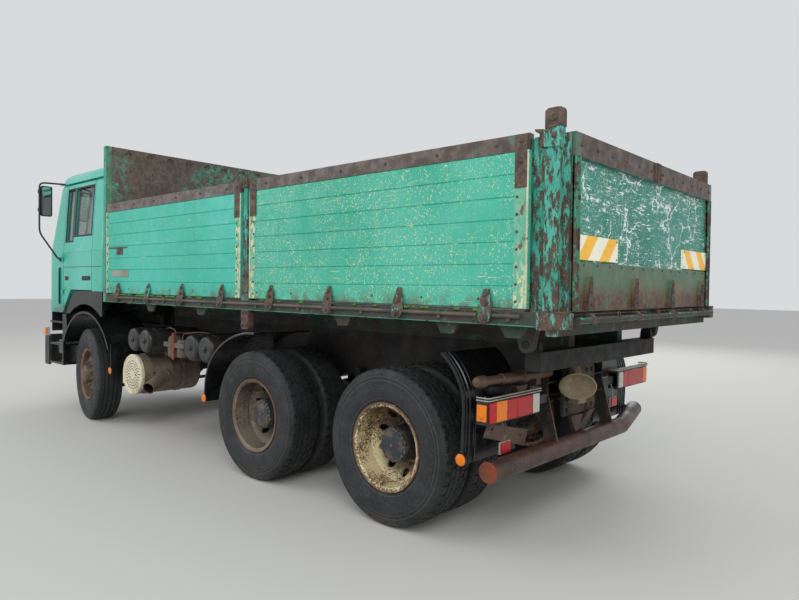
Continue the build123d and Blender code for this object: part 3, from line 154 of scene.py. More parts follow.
class Level:
    """A node's output; * keeps what two masks share, and | takes the greater."""

    def __init__(self, finish, socket):
        self.finish = finish
        self.socket = socket

    def __add__(self, other):
        return self.finish.math("ADD", self, other)

    def __sub__(self, other):
        return self.finish.math("SUBTRACT", self, other)

    def __rsub__(self, other):
        return self.finish.math("SUBTRACT", other, self)

    def __mul__(self, other):
        return self.finish.math("MULTIPLY", self, other)

    def __or__(self, other):
        return self.finish.math("MAXIMUM", self, other)

    def step(self, low, high):
        """0 at low, 1 at high and smooth between."""
        limits = {"Value": self, "From Min": low, "From Max": high}
        return self.finish.node("MapRange", limits, interpolation_type="SMOOTHSTEP")

    def between(self, low, high, soft):
        """1 between low and high, fading out over soft on both sides."""
        return self.step(low - soft, low + soft) * self.step(high + soft, high - soft)


class Finish:
    """A procedural material while its nodes are laid out, all from object coordinates."""

    def __init__(self, name, metallic=0.0, coat=0.0):
        self.material = bpy.data.materials.new(name)
        self.material.use_nodes = True
        self.tree = self.material.node_tree
        self.shader = self.tree.nodes["Principled BSDF"]
        self.set("Metallic", metallic)
        self.set("Coat Weight", coat)
        self.place = self.node("TexCoord", {}, "Object")
        split = self.node("SeparateXYZ", {0: self.place}).socket.node
        self.x, self.y, self.z = (Level(self, socket) for socket in split.outputs)
        self.colour = None

    @property
    def out(self):
        """Distance from the truck's middle plane."""
        return self.math("ABSOLUTE", self.y)

    def set(self, socket, value):
        self.shader.inputs[socket].default_value = value

    def put(self, socket, value):
        """Link a level, or write a number, a vector or a colour."""
        if isinstance(value, Level):
            self.tree.links.new(value.socket, socket)
        else:
            socket.default_value = srgb(*value) if socket.type == "RGBA" else value

    def node(self, kind, inputs, output=0, **settings):
        """Add a node and return one of its outputs."""
        made = self.tree.nodes.new("ShaderNode" + kind)
        for key, value in settings.items():
            setattr(made, key, value)
        for socket, value in inputs.items():
            self.put(made.inputs[socket], value)
        return Level(self, made.outputs[output])

    def math(self, operation, a, b=0.0):
        return self.node("Math", {0: a, 1: b}, operation=operation)

    def noise(self, scale, detail, rough=0.55, stretch=(1, 1, 1), seed=0.0):
        where = self.node("Mapping", {"Vector": self.place, "Scale": stretch, "Location": (seed, seed, seed)})
        return self.node("TexNoise", {"Vector": where, "Scale": scale, "Detail": detail, "Roughness": rough})

    def wave(self, scale, direction, **inputs):
        return self.node("TexWave", {"Vector": self.place, "Scale": scale, **inputs}, bands_direction=direction)

    def radius(self, centre_x):
        """Distance from a wheel's axle line."""
        across = self.x - centre_x
        up = self.z - tyre_radius
        return self.math("SQRT", across * across + up * up)

    def mix(self, share, a, b):
        return self.node("Mix", {0: share, 6: a, 7: b}, 2, data_type="RGBA")

    def base(self, share, a, b):
        self.colour = self.mix(share, a, b)

    def over(self, share, colour):
        """Lay a colour over what is there."""
        self.colour = self.mix(share, self.colour, colour)

    def done(self, rough_low, rough_high, height=None, depth=0.001, strength=0.6):
        """Connect the colour, a roughness that varies and a bump."""
        self.put(self.shader.inputs["Base Color"], self.colour)
        spread = {"Value": self.noise(9, 5), "From Min": 0.3, "From Max": 0.7, "To Min": rough_low,
                  "To Max": rough_high}
        self.put(self.shader.inputs["Roughness"], self.node("MapRange", spread))
        if height is not None:
            bump = self.node("Bump", {"Height": height, "Distance": depth, "Strength": strength})
            self.put(self.shader.inputs["Normal"], bump)
        return self.material


def cab_paint():
    """Glossy turquoise with a dusty film low down and a dark underside."""
    f = Finish("cab_paint", coat=0.35)
    f.set("Coat Roughness", 0.12)
    f.base(f.noise(1.4, 3).step(0.35, 0.65), (32, 170, 148), (62, 186, 168))
    f.over(f.noise(30, 6, 0.7, (1, 1, 0.15)).step(0.52, 0.68) * f.z.step(1.9, 1.28) * 0.5, (120, 140, 118))
    f.over(f.noise(70, 2).step(0.70, 0.73) * f.z.step(2.2, 1.4), (84, 74, 60))
    f.over(f.noise(5, 5, 0.6, seed=3).step(0.35, 0.6) * f.z.step(1.42, 1.27) * 0.75, (70, 78, 66))
    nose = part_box("cab_shell")[1][0]
    under = f.out.step(1.2, 1.185) * f.z.step(1.50, 1.46) * f.x.step(nose - 0.35, nose - 0.4)
    f.over(under, f.mix(f.noise(7, 5, seed=12).step(0.45, 0.65), (18, 19, 20), (44, 40, 36)))
    return f.done(0.22, 0.42, f.noise(3, 2), 0.002, 0.15)


# Columns for boards along x and along y: stretch of scratches, stretch of drips, colour of chips
panel_rows = {"x": ((0.6, 1, 26), (22, 1, 0.7), (214, 209, 168)),
              "y": ((1, 0.6, 26), (1, 22, 0.7), (214, 224, 214))}


def worn_panel(name, colour, faded, along, chip_cut, scratch_cut, low_dirt):
    """Painted boards: faded patches, pale chips, scratches along one axis, runs of dirt."""
    f = Finish(name)
    lines, drips, chip = panel_rows[along]
    f.base(f.noise(0.9, 4).step(0.34, 0.66), colour, faded)
    f.over(f.noise(6, 5, 0.65).step(0.4, 0.7) * 0.35, faded)
    runs = f.noise(3.2, 4, 0.6, drips).step(0.56, 0.7) * f.noise(1.7, 2, seed=5).step(0.4, 0.6)
    f.over(runs * 0.32, (64, 116, 92))
    where = f.noise(1.5, 3, seed=9).step(0.26, 0.5)
    chips = f.noise(96, 3, 0.62, (1, 1, 0.8)).step(chip_cut, chip_cut + 0.03) * where
    spots = f.noise(17, 6, 0.7, seed=2).step(chip_cut + 0.045, chip_cut + 0.06) * where
    tilt = {"Vector": f.place, "Rotation": (0.7, 0.7, 0), "Scale": (2, 2, 20), "Location": (3, 5, 1)}
    nicks = f.node("TexNoise",
                   {"Vector": f.node("Mapping", tilt), "Scale": 3.4, "Detail": 4.0, "Roughness": 0.65})
    nicks = nicks.step(scratch_cut + 0.015, scratch_cut + 0.035) * f.noise(3.1, 3, seed=33).step(0.5, 0.58)
    scratches = f.noise(5.5, 5, 0.7, lines).step(scratch_cut, scratch_cut + 0.02)
    scratches = scratches * f.noise(2.3, 3, seed=7).step(0.47, 0.6)
    uprights = f.noise(7.5, 4, 0.7, drips, seed=4).step(scratch_cut + 0.01, scratch_cut + 0.035)
    uprights = uprights * f.noise(2.9, 3, seed=1).step(0.5, 0.62)
    worn = (chips | (spots | nicks)) | (scratches | uprights)
    f.over(worn * 0.85, chip)
    dirt = f.z.step(flap_bottom + low_dirt, flap_bottom) * f.noise(9, 5, 0.7, seed=6).step(0.42, 0.6)
    f.over(dirt * 0.7, (92, 84, 58))
    return f, worn


def rail_colour(f, amount=0.55):
    """Primer showing through on rails and irons, with what is left of the green."""
    brown = f.mix(f.noise(14, 5, 0.6).step(0.4, 0.65), (70, 59, 53), (102, 88, 80))
    return f.mix(f.noise(5.5, 6, 0.68, seed=12).step(amount, amount + 0.08) * 0.55, brown, (84, 128, 108))


def inner_colour(f):
    """The side of the load: green worn to primer."""
    return f.mix(f.noise(4.2, 6, 0.72, seed=21).step(0.45, 0.56), (70, 132, 110), (92, 72, 58))


def flap_paint(name, colour, faded, chip_cut, scratch_cut):
    f, worn = worn_panel(name, colour, faded, "x", chip_cut, scratch_cut, 0.12)
    f.over(f.z.step(rail_bottom - 0.001, rail_bottom + 0.001), rail_colour(f))
    strap = f.out.step(flap_face + 0.0044, flap_face + 0.0052) * f.z.step(rail_bottom, rail_bottom - 0.01)
    strap = strap | f.z.step(flap_bottom - 0.002, flap_bottom - 0.004)
    f.over(strap, f.mix(f.noise(24, 5, 0.65).step(0.42, 0.62), (70, 56, 48), (96, 58, 38)))
    f.over(f.out.step(flap_face - 0.02, flap_face - 0.024), inner_colour(f))
    return f.done(0.34, 0.62, f.noise(45, 4) - worn * 0.6, 0.0012)


def gate_paint():
    """Dark green board with white cracks, dashes and smears over a band of dull, dirty metal."""
    f, worn = worn_panel("gate_paint", (22, 124, 104), (48, 140, 122), "y", 0.6, 0.6, 0.2)
    warp = f.node("TexNoise", {"Vector": f.place, "Scale": 2.4, "Detail": 5.0}, 1)
    bent = f.node("VectorMath", {0: f.place, 1: warp}, operation="ADD")
    cells = f.node("TexVoronoi", {"Vector": bent, "Scale": 3.1}, feature="DISTANCE_TO_EDGE")
    cracks = cells.step(0.026, 0.010) * f.noise(2.2, 3, seed=15).step(0.44, 0.5)
    dashes = f.noise(5, 4, 0.65, (1, 2.2, 16), 18).step(0.598, 0.62)
    dashes = dashes * f.noise(1.9, 3, seed=19).step(0.36, 0.56)
    smears = f.noise(4.2, 5, 0.7, (1, 1.1, 3.2), 23).step(0.58, 0.63)
    smears = smears * f.noise(34, 4, seed=24).step(0.42, 0.5)
    f.over((cracks | dashes | smears) * 0.95, (236, 242, 238))
    dull = f.mix(f.noise(4.5, 5, 0.7, (1, 14, 0.8), 8).step(0.42, 0.66), (64, 112, 88), (118, 110, 80))
    stains = f.noise(5, 6, 0.7, (1, 1.6, 0.7), 31).step(0.52, 0.6) * f.z.step(1.75, 1.6)
    dull = f.mix(stains, dull, (126, 104, 76))
    low = f.noise(9, 6, 0.7, (1, 1, 0.6), 4).step(0.32, 0.5) * f.z.step(1.68, 1.56)
    dull = f.mix(low, dull, f.mix(f.noise(30, 5).step(0.45, 0.6), (74, 56, 46), (110, 78, 54)))
    f.over(f.z.step(gate_seam + 0.002, gate_seam - 0.004), dull)
    f.over(f.z.step(2.346, 2.348), rail_colour(f, 0.62))
    f.over(f.out.step(gate_half - 0.062, gate_half - 0.058), rail_colour(f, 0.42))
    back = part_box("tailgate")[0][0]
    f.over(f.x.step(back + 0.052, back + 0.056), inner_colour(f))
    return f.done(0.36, 0.64, f.noise(45, 4) - worn * 0.6, 0.0012)


def flaking(f, cut):
    """Turquoise paint that flakes off rusty primer in upright islands, most of all low down and in recesses."""
    spread = f.noise(30, 8, 0.8, (1, 1, 0.3)) + f.noise(3.4, 4, 0.6, (1, 1, 0.6), seed=6) * 0.3
    level = spread - f.z.step(2.3, 1.6) * 0.085 - f.out.step(1.2035, 1.2015) * 0.012
    flakes = level.step(cut + 0.128, cut + 0.14) * (1.0 - f.noise(64, 3, 0.6, seed=9).step(0.64, 0.67))
    under = f.mix(f.noise(24, 6, 0.68, seed=3).step(0.4, 0.62), (62, 49, 42), (94, 70, 56))
    paint = f.mix(f.noise(3.5, 4, seed=8).step(0.35, 0.65), (36, 142, 120), (82, 174, 156))
    return flakes, f.mix(flakes, under, paint)


def flaking_paint(name, cut):
    f = Finish(name)
    flakes, f.colour = flaking(f, cut)
    return f.done(0.45, 0.8, flakes, 0.0012, 0.9)


def bed_paint():
    """Dirty dark green under the bed, a green lip along the ledge and flaking corner boxes."""
    f = Finish("bed_paint")
    f.base(f.noise(3.4, 6, 0.62).step(0.36, 0.6) * 0.8, (44, 60, 52), (66, 53, 45))
    f.over(f.noise(17, 6, 0.7, seed=11).step(0.58, 0.62), (50, 104, 84))
    lip = f.out.step(1.24, 1.243) * f.noise(11, 6, 0.7, seed=13).step(0.62, 0.5)
    f.over(f.z.step(1.4225, 1.4195) * lip, (54, 138, 110))
    f.over(f.z.step(1.492, 1.496) * f.out.step(1.2, 1.215), (74, 62, 50))
    flaked = flaking(f, 0.5)[1]
    f.over(f.x.step(rear_x - 1.165, rear_x - 1.185) * f.out.step(1.17, 1.173), flaked)
    foot = f.x.between(middle_x + 0.02, middle_x + 0.13, 0.002) * f.out.step(1.17, 1.18)
    rusty = f.mix(f.noise(24, 6).step(0.42, 0.6), (64, 50, 44), (96, 72, 58))
    f.over(f.z.step(1.414, 1.41) * foot, rusty)
    return f.done(0.55, 0.85, f.noise(38, 5, 0.6), 0.0015, 0.5)


def headboard_paint():
    """Grey-brown primer towards the load, with islands of green, and greener towards the cab."""
    f = Finish("headboard_paint")
    islands = f.noise(19, 8, 0.76).step(0.5, 0.53) * f.noise(1.3, 4, 0.6, seed=5).step(0.4, 0.62)
    under = f.mix(f.noise(23, 7, 0.7, seed=2).step(0.36, 0.62), (82, 68, 60), (112, 98, 86))
    under = f.mix(f.noise(3.1, 5, seed=29).step(0.4, 0.7) * 0.4, under, (72, 66, 58))
    edge = f.out.step(1.175, 1.19) * f.noise(20, 7, 0.74, seed=14).step(0.45, 0.48)
    patches = islands | edge
    f.base(patches, under, f.mix(f.noise(9, 4, seed=30).step(0.4, 0.6), (72, 128, 104), (88, 150, 122)))
    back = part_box("headboard")[0][0]
    front = f.mix(f.noise(7, 6, 0.7, seed=17).step(0.55, 0.6), (52, 156, 132), under)
    f.over(f.x.step(back + 0.006, back + 0.009), front)
    return f.done(0.6, 0.88, patches, 0.0012, 0.8)


def grimy(name, base, film, cut=0.5, rough=(0.55, 0.85), speck=None, grain=26):
    """Painted or cast metal under road dirt: base colour, a dusty film and small rust specks."""
    f = Finish(name)
    f.base(f.noise(3.4, 6, 0.62).step(cut - 0.1, cut + 0.14) * 0.75, base, film)
    f.over(f.noise(grain, 5, 0.65, seed=4).step(0.4, 0.66) * 0.35, film)
    if speck is not None:
        f.over(f.noise(17, 6, 0.7, seed=11).step(0.6, 0.64), speck)
    return f.done(*rough, f.noise(38, 5, 0.6), 0.0015, 0.5)


def bar_paint():
    """Glossy brown tube between dark hangers."""
    f = Finish("bar_paint")
    f.base(f.noise(8, 6, 0.65).step(0.4, 0.62), (76, 51, 39), (54, 39, 31))
    f.over(f.noise(40, 5, 0.7, seed=5).step(0.6, 0.64), (112, 82, 60))
    dark = f.mix(f.noise(12, 6, 0.7, seed=8).step(0.52, 0.58), (38, 35, 33), (74, 56, 44))
    f.over(f.z.step(0.605, 0.63), dark)
    return f.done(0.3, 0.6, f.noise(70, 5), 0.0008)


def rim_paint(name, centre_x, ring, ring_rust, cut, hub):
    """A rim whose paint breaks into fine rust, more of it towards the top, where the rust is partly painted
    shade, with a darker, greasy hub.
    """
    f = Finish(name)
    level = f.noise(75, 7, 0.8) + f.noise(4.5, 4, seed=16) * 0.5
    # More rust towards the top of the rim: partly rust, partly painted shade on the upper part of the wheel
    level = level - f.z.step(tyre_radius - 0.1, tyre_radius + 0.22) * 0.06
    flakes = level.step(cut + 0.25, cut + 0.29)
    f.base(flakes, f.mix(f.noise(30, 4, seed=3).step(0.4, 0.6), (58, 42, 34), ring_rust), ring)
    reach = f.radius(centre_x)
    f.over(reach.step(0.25, 0.2) * f.noise(12, 6, 0.7, seed=6).step(0.3, 0.55) * 0.85, (88, 76, 64))
    f.over(reach.step(0.137, 0.133), f.mix(f.noise(14, 5, 0.6, seed=9).step(0.42, 0.66), hub, (92, 82, 70)))
    f.over(reach.step(0.288, 0.294) * f.noise(22, 5, 0.6, seed=13).step(0.3, 0.5), (112, 84, 64))
    return f.done(0.42, 0.75, flakes, 0.0008, 0.7)


def rubber(name, dusty, centre_x):
    """Tyre rubber with moulded rings on its side walls."""
    f = Finish(name)
    f.base(f.noise(4, 6, 0.6).step(0.36, 0.68), (15, 17, 19), dusty)
    reach = f.radius(centre_x)
    ridge = f.math("SINE", reach * 620.0).step(0.1, 0.9) * reach.between(0.335, 0.44, 0.006)
    f.over(ridge * 0.3, (70, 73, 76))
    for place in (0.325, 0.452, 0.478):
        f.over(reach.between(place, place + 0.004, 0.002) * 0.45, (92, 94, 94))
    f.over(f.noise(55, 4, 0.7, seed=6).step(0.52, 0.7) * 0.35, (84, 82, 77))
    f.over(f.z.step(0.12, 0.0) * 0.5, (74, 69, 62))
    return f.done(0.5, 0.82, f.noise(120, 4, 0.6) * 0.5 + ridge * 0.8, 0.0009, 0.7)


def plastic(name, base, film, rough, amount=0.5):
    f = Finish(name)
    f.base(f.noise(2.6, 6, 0.62).step(0.42, 0.7) * amount, base, film)
    f.over(f.noise(60, 4, 0.7, seed=3).step(0.6, 0.72) * 0.5, film)
    return f.done(*rough, f.noise(160, 3, 0.6), 0.0004, 0.4)


def window_glass():
    f = Finish("window_glass")
    f.set("Transmission Weight", 0.92)
    f.set("IOR", 1.45)
    f.base(f.noise(7, 6, 0.7).step(0.45, 0.75) * 0.4, (176, 190, 184), (170, 178, 172))
    return f.done(0.02, 0.07)


def lens(name, bright, deep):
    """A moulded lens with fine ribs and a little dirt."""
    f = Finish(name, coat=0.25)
    f.set("Specular IOR Level", 0.3)
    ribs = f.wave(60.0, "Z", Distortion=0.0)
    f.base(ribs.step(0.2, 0.8), deep, bright)
    f.over(f.noise(22, 5, 0.7).step(0.5, 0.75) * 0.35, (70, 56, 44))
    return f.done(0.12, 0.3, ribs, 0.0008, 0.5)


def seat_cloth():
    """Woven cloth from two crossing waves, with a worn film."""
    f = Finish("seat_cloth")
    cross = f.wave(260.0, "Y") | f.wave(260.0, "Z")
    f.base(cross * 0.5, (56, 60, 70), (84, 88, 98))
    f.over(f.noise(5, 5).step(0.45, 0.7) * 0.4, (96, 92, 84))
    return f.done(0.82, 0.95, cross, 0.0006, 0.5)


def hoist_steel():
    """Bright tube with fine rings and oily dirt."""
    f = Finish("hoist_steel", metallic=1.0)
    rings = f.noise(12, 4, 0.6, (1, 1, 22))
    f.base(rings.step(0.35, 0.65), (150, 152, 154), (186, 188, 190))
    f.over(f.noise(5, 5, seed=2).step(0.5, 0.7) * 0.5, (88, 74, 58))
    return f.done(0.22, 0.45, rings, 0.0003, 0.3)


def old_iron(name, cut):
    """Brown primer and rust on irons, bolts and brackets, with traces of green."""
    f = Finish(name)
    f.base(f.noise(16, 6, 0.68).step(0.4, 0.62), (62, 51, 46), (94, 76, 64))
    f.over(f.noise(30, 5, 0.7, seed=5).step(0.58, 0.64), (110, 82, 64))
    f.over(f.noise(8, 6, 0.7, seed=9).step(cut, cut + 0.03), (70, 140, 114))
    return f.done(0.55, 0.85, f.noise(60, 5, 0.65))


def strip_paint():
    """Edge strips: green that has chipped to cream and bare metal."""
    f = Finish("strip_paint")
    f.base(f.noise(1.6, 4).step(0.35, 0.65), (62, 168, 138), (112, 176, 150))
    where = f.noise(1.7, 3, seed=3).step(0.36, 0.56) | f.z.step(1.95, 1.6)
    cream = f.noise(34, 7, 0.76, (1, 1, 0.5)).step(0.497, 0.525) * where
    f.over(cream * 0.9, (214, 209, 168))
    f.over(f.noise(13, 6, 0.72, (1, 1, 0.4), seed=8).step(0.6, 0.64), (112, 84, 60))
    return f.done(0.4, 0.7, f.noise(50, 4) - cream)


def polished_glass():
    """Mirror glass with a thin film of dirt."""
    f = Finish("mirror_glass", metallic=1.0)
    f.base(f.noise(9, 6, 0.7).step(0.5, 0.8) * 0.3, (186, 196, 196), (120, 122, 118))
    return f.done(0.04, 0.14)


def striped_board():
    """Diagonal yellow bands that lean the same way outward on both halves."""
    f = Finish("marker_board", coat=0.2)
    along = f.out + f.z * 0.9
    phase = f.math("FRACT", f.math("DIVIDE", along - 2.311, 0.2735))
    f.base(phase.step(0.0, 0.01) * phase.step(0.485, 0.475), (250, 246, 222), (255, 190, 12))
    f.over(f.noise(34, 5, 0.7).step(0.62, 0.66) * 0.8, (176, 150, 100))
    f.over(f.noise(6, 5, 0.65, (1, 1, 0.4), seed=3).step(0.5, 0.75) * 0.14, (160, 140, 100))
    return f.done(0.28, 0.5, f.noise(60, 4), 0.0005, 0.4)


# Columns: look, material, base colour, film of dirt, where it starts, roughness, specks, its grain
grimy_rows = (
    ("frame", "frame_paint", (20, 21, 22), (46, 39, 34), 0.52),
    ("axle", "axle_grime", (38, 33, 30), (80, 67, 54), 0.48, (0.6, 0.9), None, 40),
    ("engine", "engine_iron", (40, 41, 42), (66, 58, 49), 0.5),
    ("tank", "tank_paint", (25, 28, 31), (64, 58, 50), 0.56, (0.25, 0.6)),
    ("silencer", "silencer_steel", (124, 112, 96), (86, 72, 58), 0.5, (0.55, 0.85), (88, 62, 44)),
    ("moss", "moss", (92, 146, 26), (80, 112, 30), 0.5, (0.8, 0.95), None, 90),
    ("hub_cap", "hub_cap", (48, 55, 64), (92, 92, 90), 0.56, (0.35, 0.6), (96, 74, 56), 50),
    ("cream_edge", "cream_edge", (206, 204, 172), (116, 158, 130), 0.52, (0.4, 0.65), (92, 78, 62), 50),
    ("lining", "funnel_dust", (158, 143, 116), (92, 80, 66), 0.5, (0.85, 0.95), None, 60),
    ("brown", "brown_plate", (82, 61, 44), (58, 44, 35), 0.5, (0.4, 0.65), (112, 84, 60)),
    ("coupling", "coupling_iron", (142, 126, 102), (84, 70, 56), 0.52, (0.6, 0.9), None, 34),
    ("nut", "nut_iron", (86, 78, 70), (122, 92, 66), 0.5, (0.5, 0.8), (70, 50, 38), 60),
    ("pipe", "pipe_paint", (58, 58, 56), (96, 86, 74), 0.5, (0.4, 0.7), None, 60),
    ("plate", "plate_metal", (150, 152, 146), (122, 116, 100), 0.52, (0.35, 0.6), None, 50),
    ("rust_orange", "rusted_bare", (136, 62, 34), (76, 42, 30), 0.48, (0.7, 0.9), (190, 104, 58), 120),
    ("cap", "silencer_cap", (222, 214, 186), (150, 132, 100), 0.6, (0.45, 0.7), (92, 72, 52), 44),
    ("casting", "casting_grime", (84, 80, 74), (120, 100, 78), 0.48, (0.55, 0.85), (96, 60, 38), 44),
)
# Columns: look, material, base colour, film of dust, roughness, amount of the film
plastic_rows = (
    ("guard", "guard_plastic", (15, 16, 18), (44, 44, 44), (0.16, 0.4)),
    ("bumper", "bumper_plastic", (44, 46, 49), (84, 80, 74), (0.4, 0.7)),
    ("grille", "grille_plastic", (30, 31, 32), (62, 60, 56), (0.4, 0.7)),
    ("dash", "dash_plastic", (46, 47, 49), (70, 68, 64), (0.5, 0.75), 0.3),
    ("steering", "steering_rubber", (26, 26, 27), (52, 50, 48), (0.35, 0.6), 0.3),
    ("mirror", "mirror_plastic", (28, 30, 30), (58, 58, 54), (0.35, 0.6), 0.4),
    ("seal", "seal_rubber", (18, 19, 19), (52, 52, 48), (0.4, 0.65), 0.3),
)
# Columns: axle, its x, rubber's dust, rim's material, paint, rust, how much is left, hub's grease
axle_rows = (
    ("rear", rear_x, (32, 33, 35), "rim_cream", (208, 192, 150), (112, 82, 52), 0.462, (40, 46, 53)),
    ("middle", middle_x, (32, 33, 35), "rim_brown", (118, 108, 94), (88, 68, 54), 0.44, (40, 46, 54)),
    ("front", front_x, (32, 34, 36), "rim_front", (150, 136, 118), (100, 72, 56), 0.52, (84, 72, 60)),
)
# The solids that each look goes on
node_rows = (
    ("frame", "chassis_frame subframe"), ("engine", "engine_gearbox"), ("silencer", "exhaust"),
    ("axle", "front_axle leaf_springs drive_axles propshafts knuckle_left knuckle_right track_rod"),
    ("tank", "fuel_tank battery_box air_tanks"), ("guard", "front_mudguards rear_mudguards arch_trims"),
    ("bumper", "front_bumper tail_lamps"), ("clear_lens", "front_lamps"), ("bar", "underrun_bar"),
    ("coupling", "tow_coupling"), ("cab_green", "cab_shell door_left door_right"), ("grille", "front_grille"),
    ("glass", "cab_glass door_glass_left door_glass_right"), ("seat", "seats"), ("dash", "dashboard"),
    ("steering", "steering_wheel"), ("mirror", "mirror_left mirror_right"), ("bed", "bed_frame"),
    ("headboard", "headboard"), ("post", "bed_posts"), ("gate", "tailgate"),
)


def paint_all():
    """Make every finish and put one on each solid; what no row names is polished hoist steel."""
    looks = {
        "cab_green": cab_paint(),
        "flap_front": flap_paint("flap_paint_front", (24, 170, 146), (56, 184, 164), 0.662, 0.655),
        "flap_rear": flap_paint("flap_paint_rear", (28, 162, 134), (72, 182, 156), 0.602, 0.625),
        "gate": gate_paint(),
        "post": flaking_paint("post_paint", 0.47),
        "strap": flaking_paint("strap_paint", 0.5),
        "headboard": headboard_paint(),
        "bed": bed_paint(),
        "bar": bar_paint(),
        "strip": strip_paint(),
        "iron": old_iron("old_iron", 0.68),
        "gate_iron": old_iron("gate_iron", 0.5),
        "hoist": hoist_steel(),
        "seat": seat_cloth(),
        "glass": window_glass(),
        "mirror_glass": polished_glass(),
        "board": striped_board(),
        "red_lens": lens("red_lens", (206, 14, 24), (132, 6, 12)),
        "amber_lens": lens("amber_lens", (246, 140, 10), (206, 96, 4)),
        "clear_lens": lens("clear_lens", (216, 214, 208), (168, 166, 160)),
    }
    looks.update((look, grimy(*row)) for look, *row in grimy_rows)
    looks.update((look, plastic(*row)) for look, *row in plastic_rows)
    by_node = {node: look for look, names in node_rows for node in names.split()}
    for axle, centre_x, dusty, rim, *paint in axle_rows:
        looks[f"tyre_{axle}"] = rubber(f"tyre_rubber_{axle}", dusty, centre_x)
        looks[f"rim_{axle}"] = rim_paint(rim, centre_x, *paint)
        for side_name, _ in SIDES:
            by_node[f"wheel_{axle}_{side_name}"] = f"rim_{axle}"
            by_node[f"tyre_{axle}_{side_name}"] = f"tyre_{axle}"
            by_node[f"side_flap_{axle}_{side_name}"] = f"flap_{axle}"
    for node, placed in nodes.items():
        materials = placed.data.materials
        materials.clear()
        materials.append(looks[by_node.get(node, "hoist")])
    return looks


# Shapes

def frame_of(axis):
    """Two directions square to an axis, and the axis itself."""
    axis = Vector(axis).normalized()
    aside = Z_AXIS if abs(axis.z) < 0.9 else X_AXIS
    across = aside.cross(axis).normalized()
    return across, axis.cross(across), axis


def circle(centre, u, v, steps, wide, high=None, shift=0.0):
    """Points spread evenly round an ellipse."""
    turns = [2 * pi * (k + shift) / steps for k in range(steps)]
    return [centre + wide * cos(turn) * u + (high or wide) * sin(turn) * v for turn in turns]


# How many pieces a bend has, and how much of a leg it takes at most
bend_steps = 5
leg_share = 0.45


def rounded(points, radius):
    """A path whose corners are cut by parabolas, or by less where its legs are short."""
    points = [Vector(point) for point in points]
    path = [points[0]]
    for before, corner, after in zip(points, points[1:], points[2:]):
        cut = min(radius, leg_share * (before - corner).length, leg_share * (after - corner).length)
        enter = corner + cut * (before - corner).normalized()
        leave = corner + cut * (after - corner).normalized()
        for k in range(bend_steps + 1):
            t = k / bend_steps
            path.append((1 - t) ** 2 * enter + 2 * t * (1 - t) * corner + t ** 2 * leave)
    path.append(points[-1])
    return path


def directions(path):
    """The way a path runs at each of its points."""
    return [(after - before).normalized() for before, after in zip(path[:1] + path, path[1:] + path[-1:])]


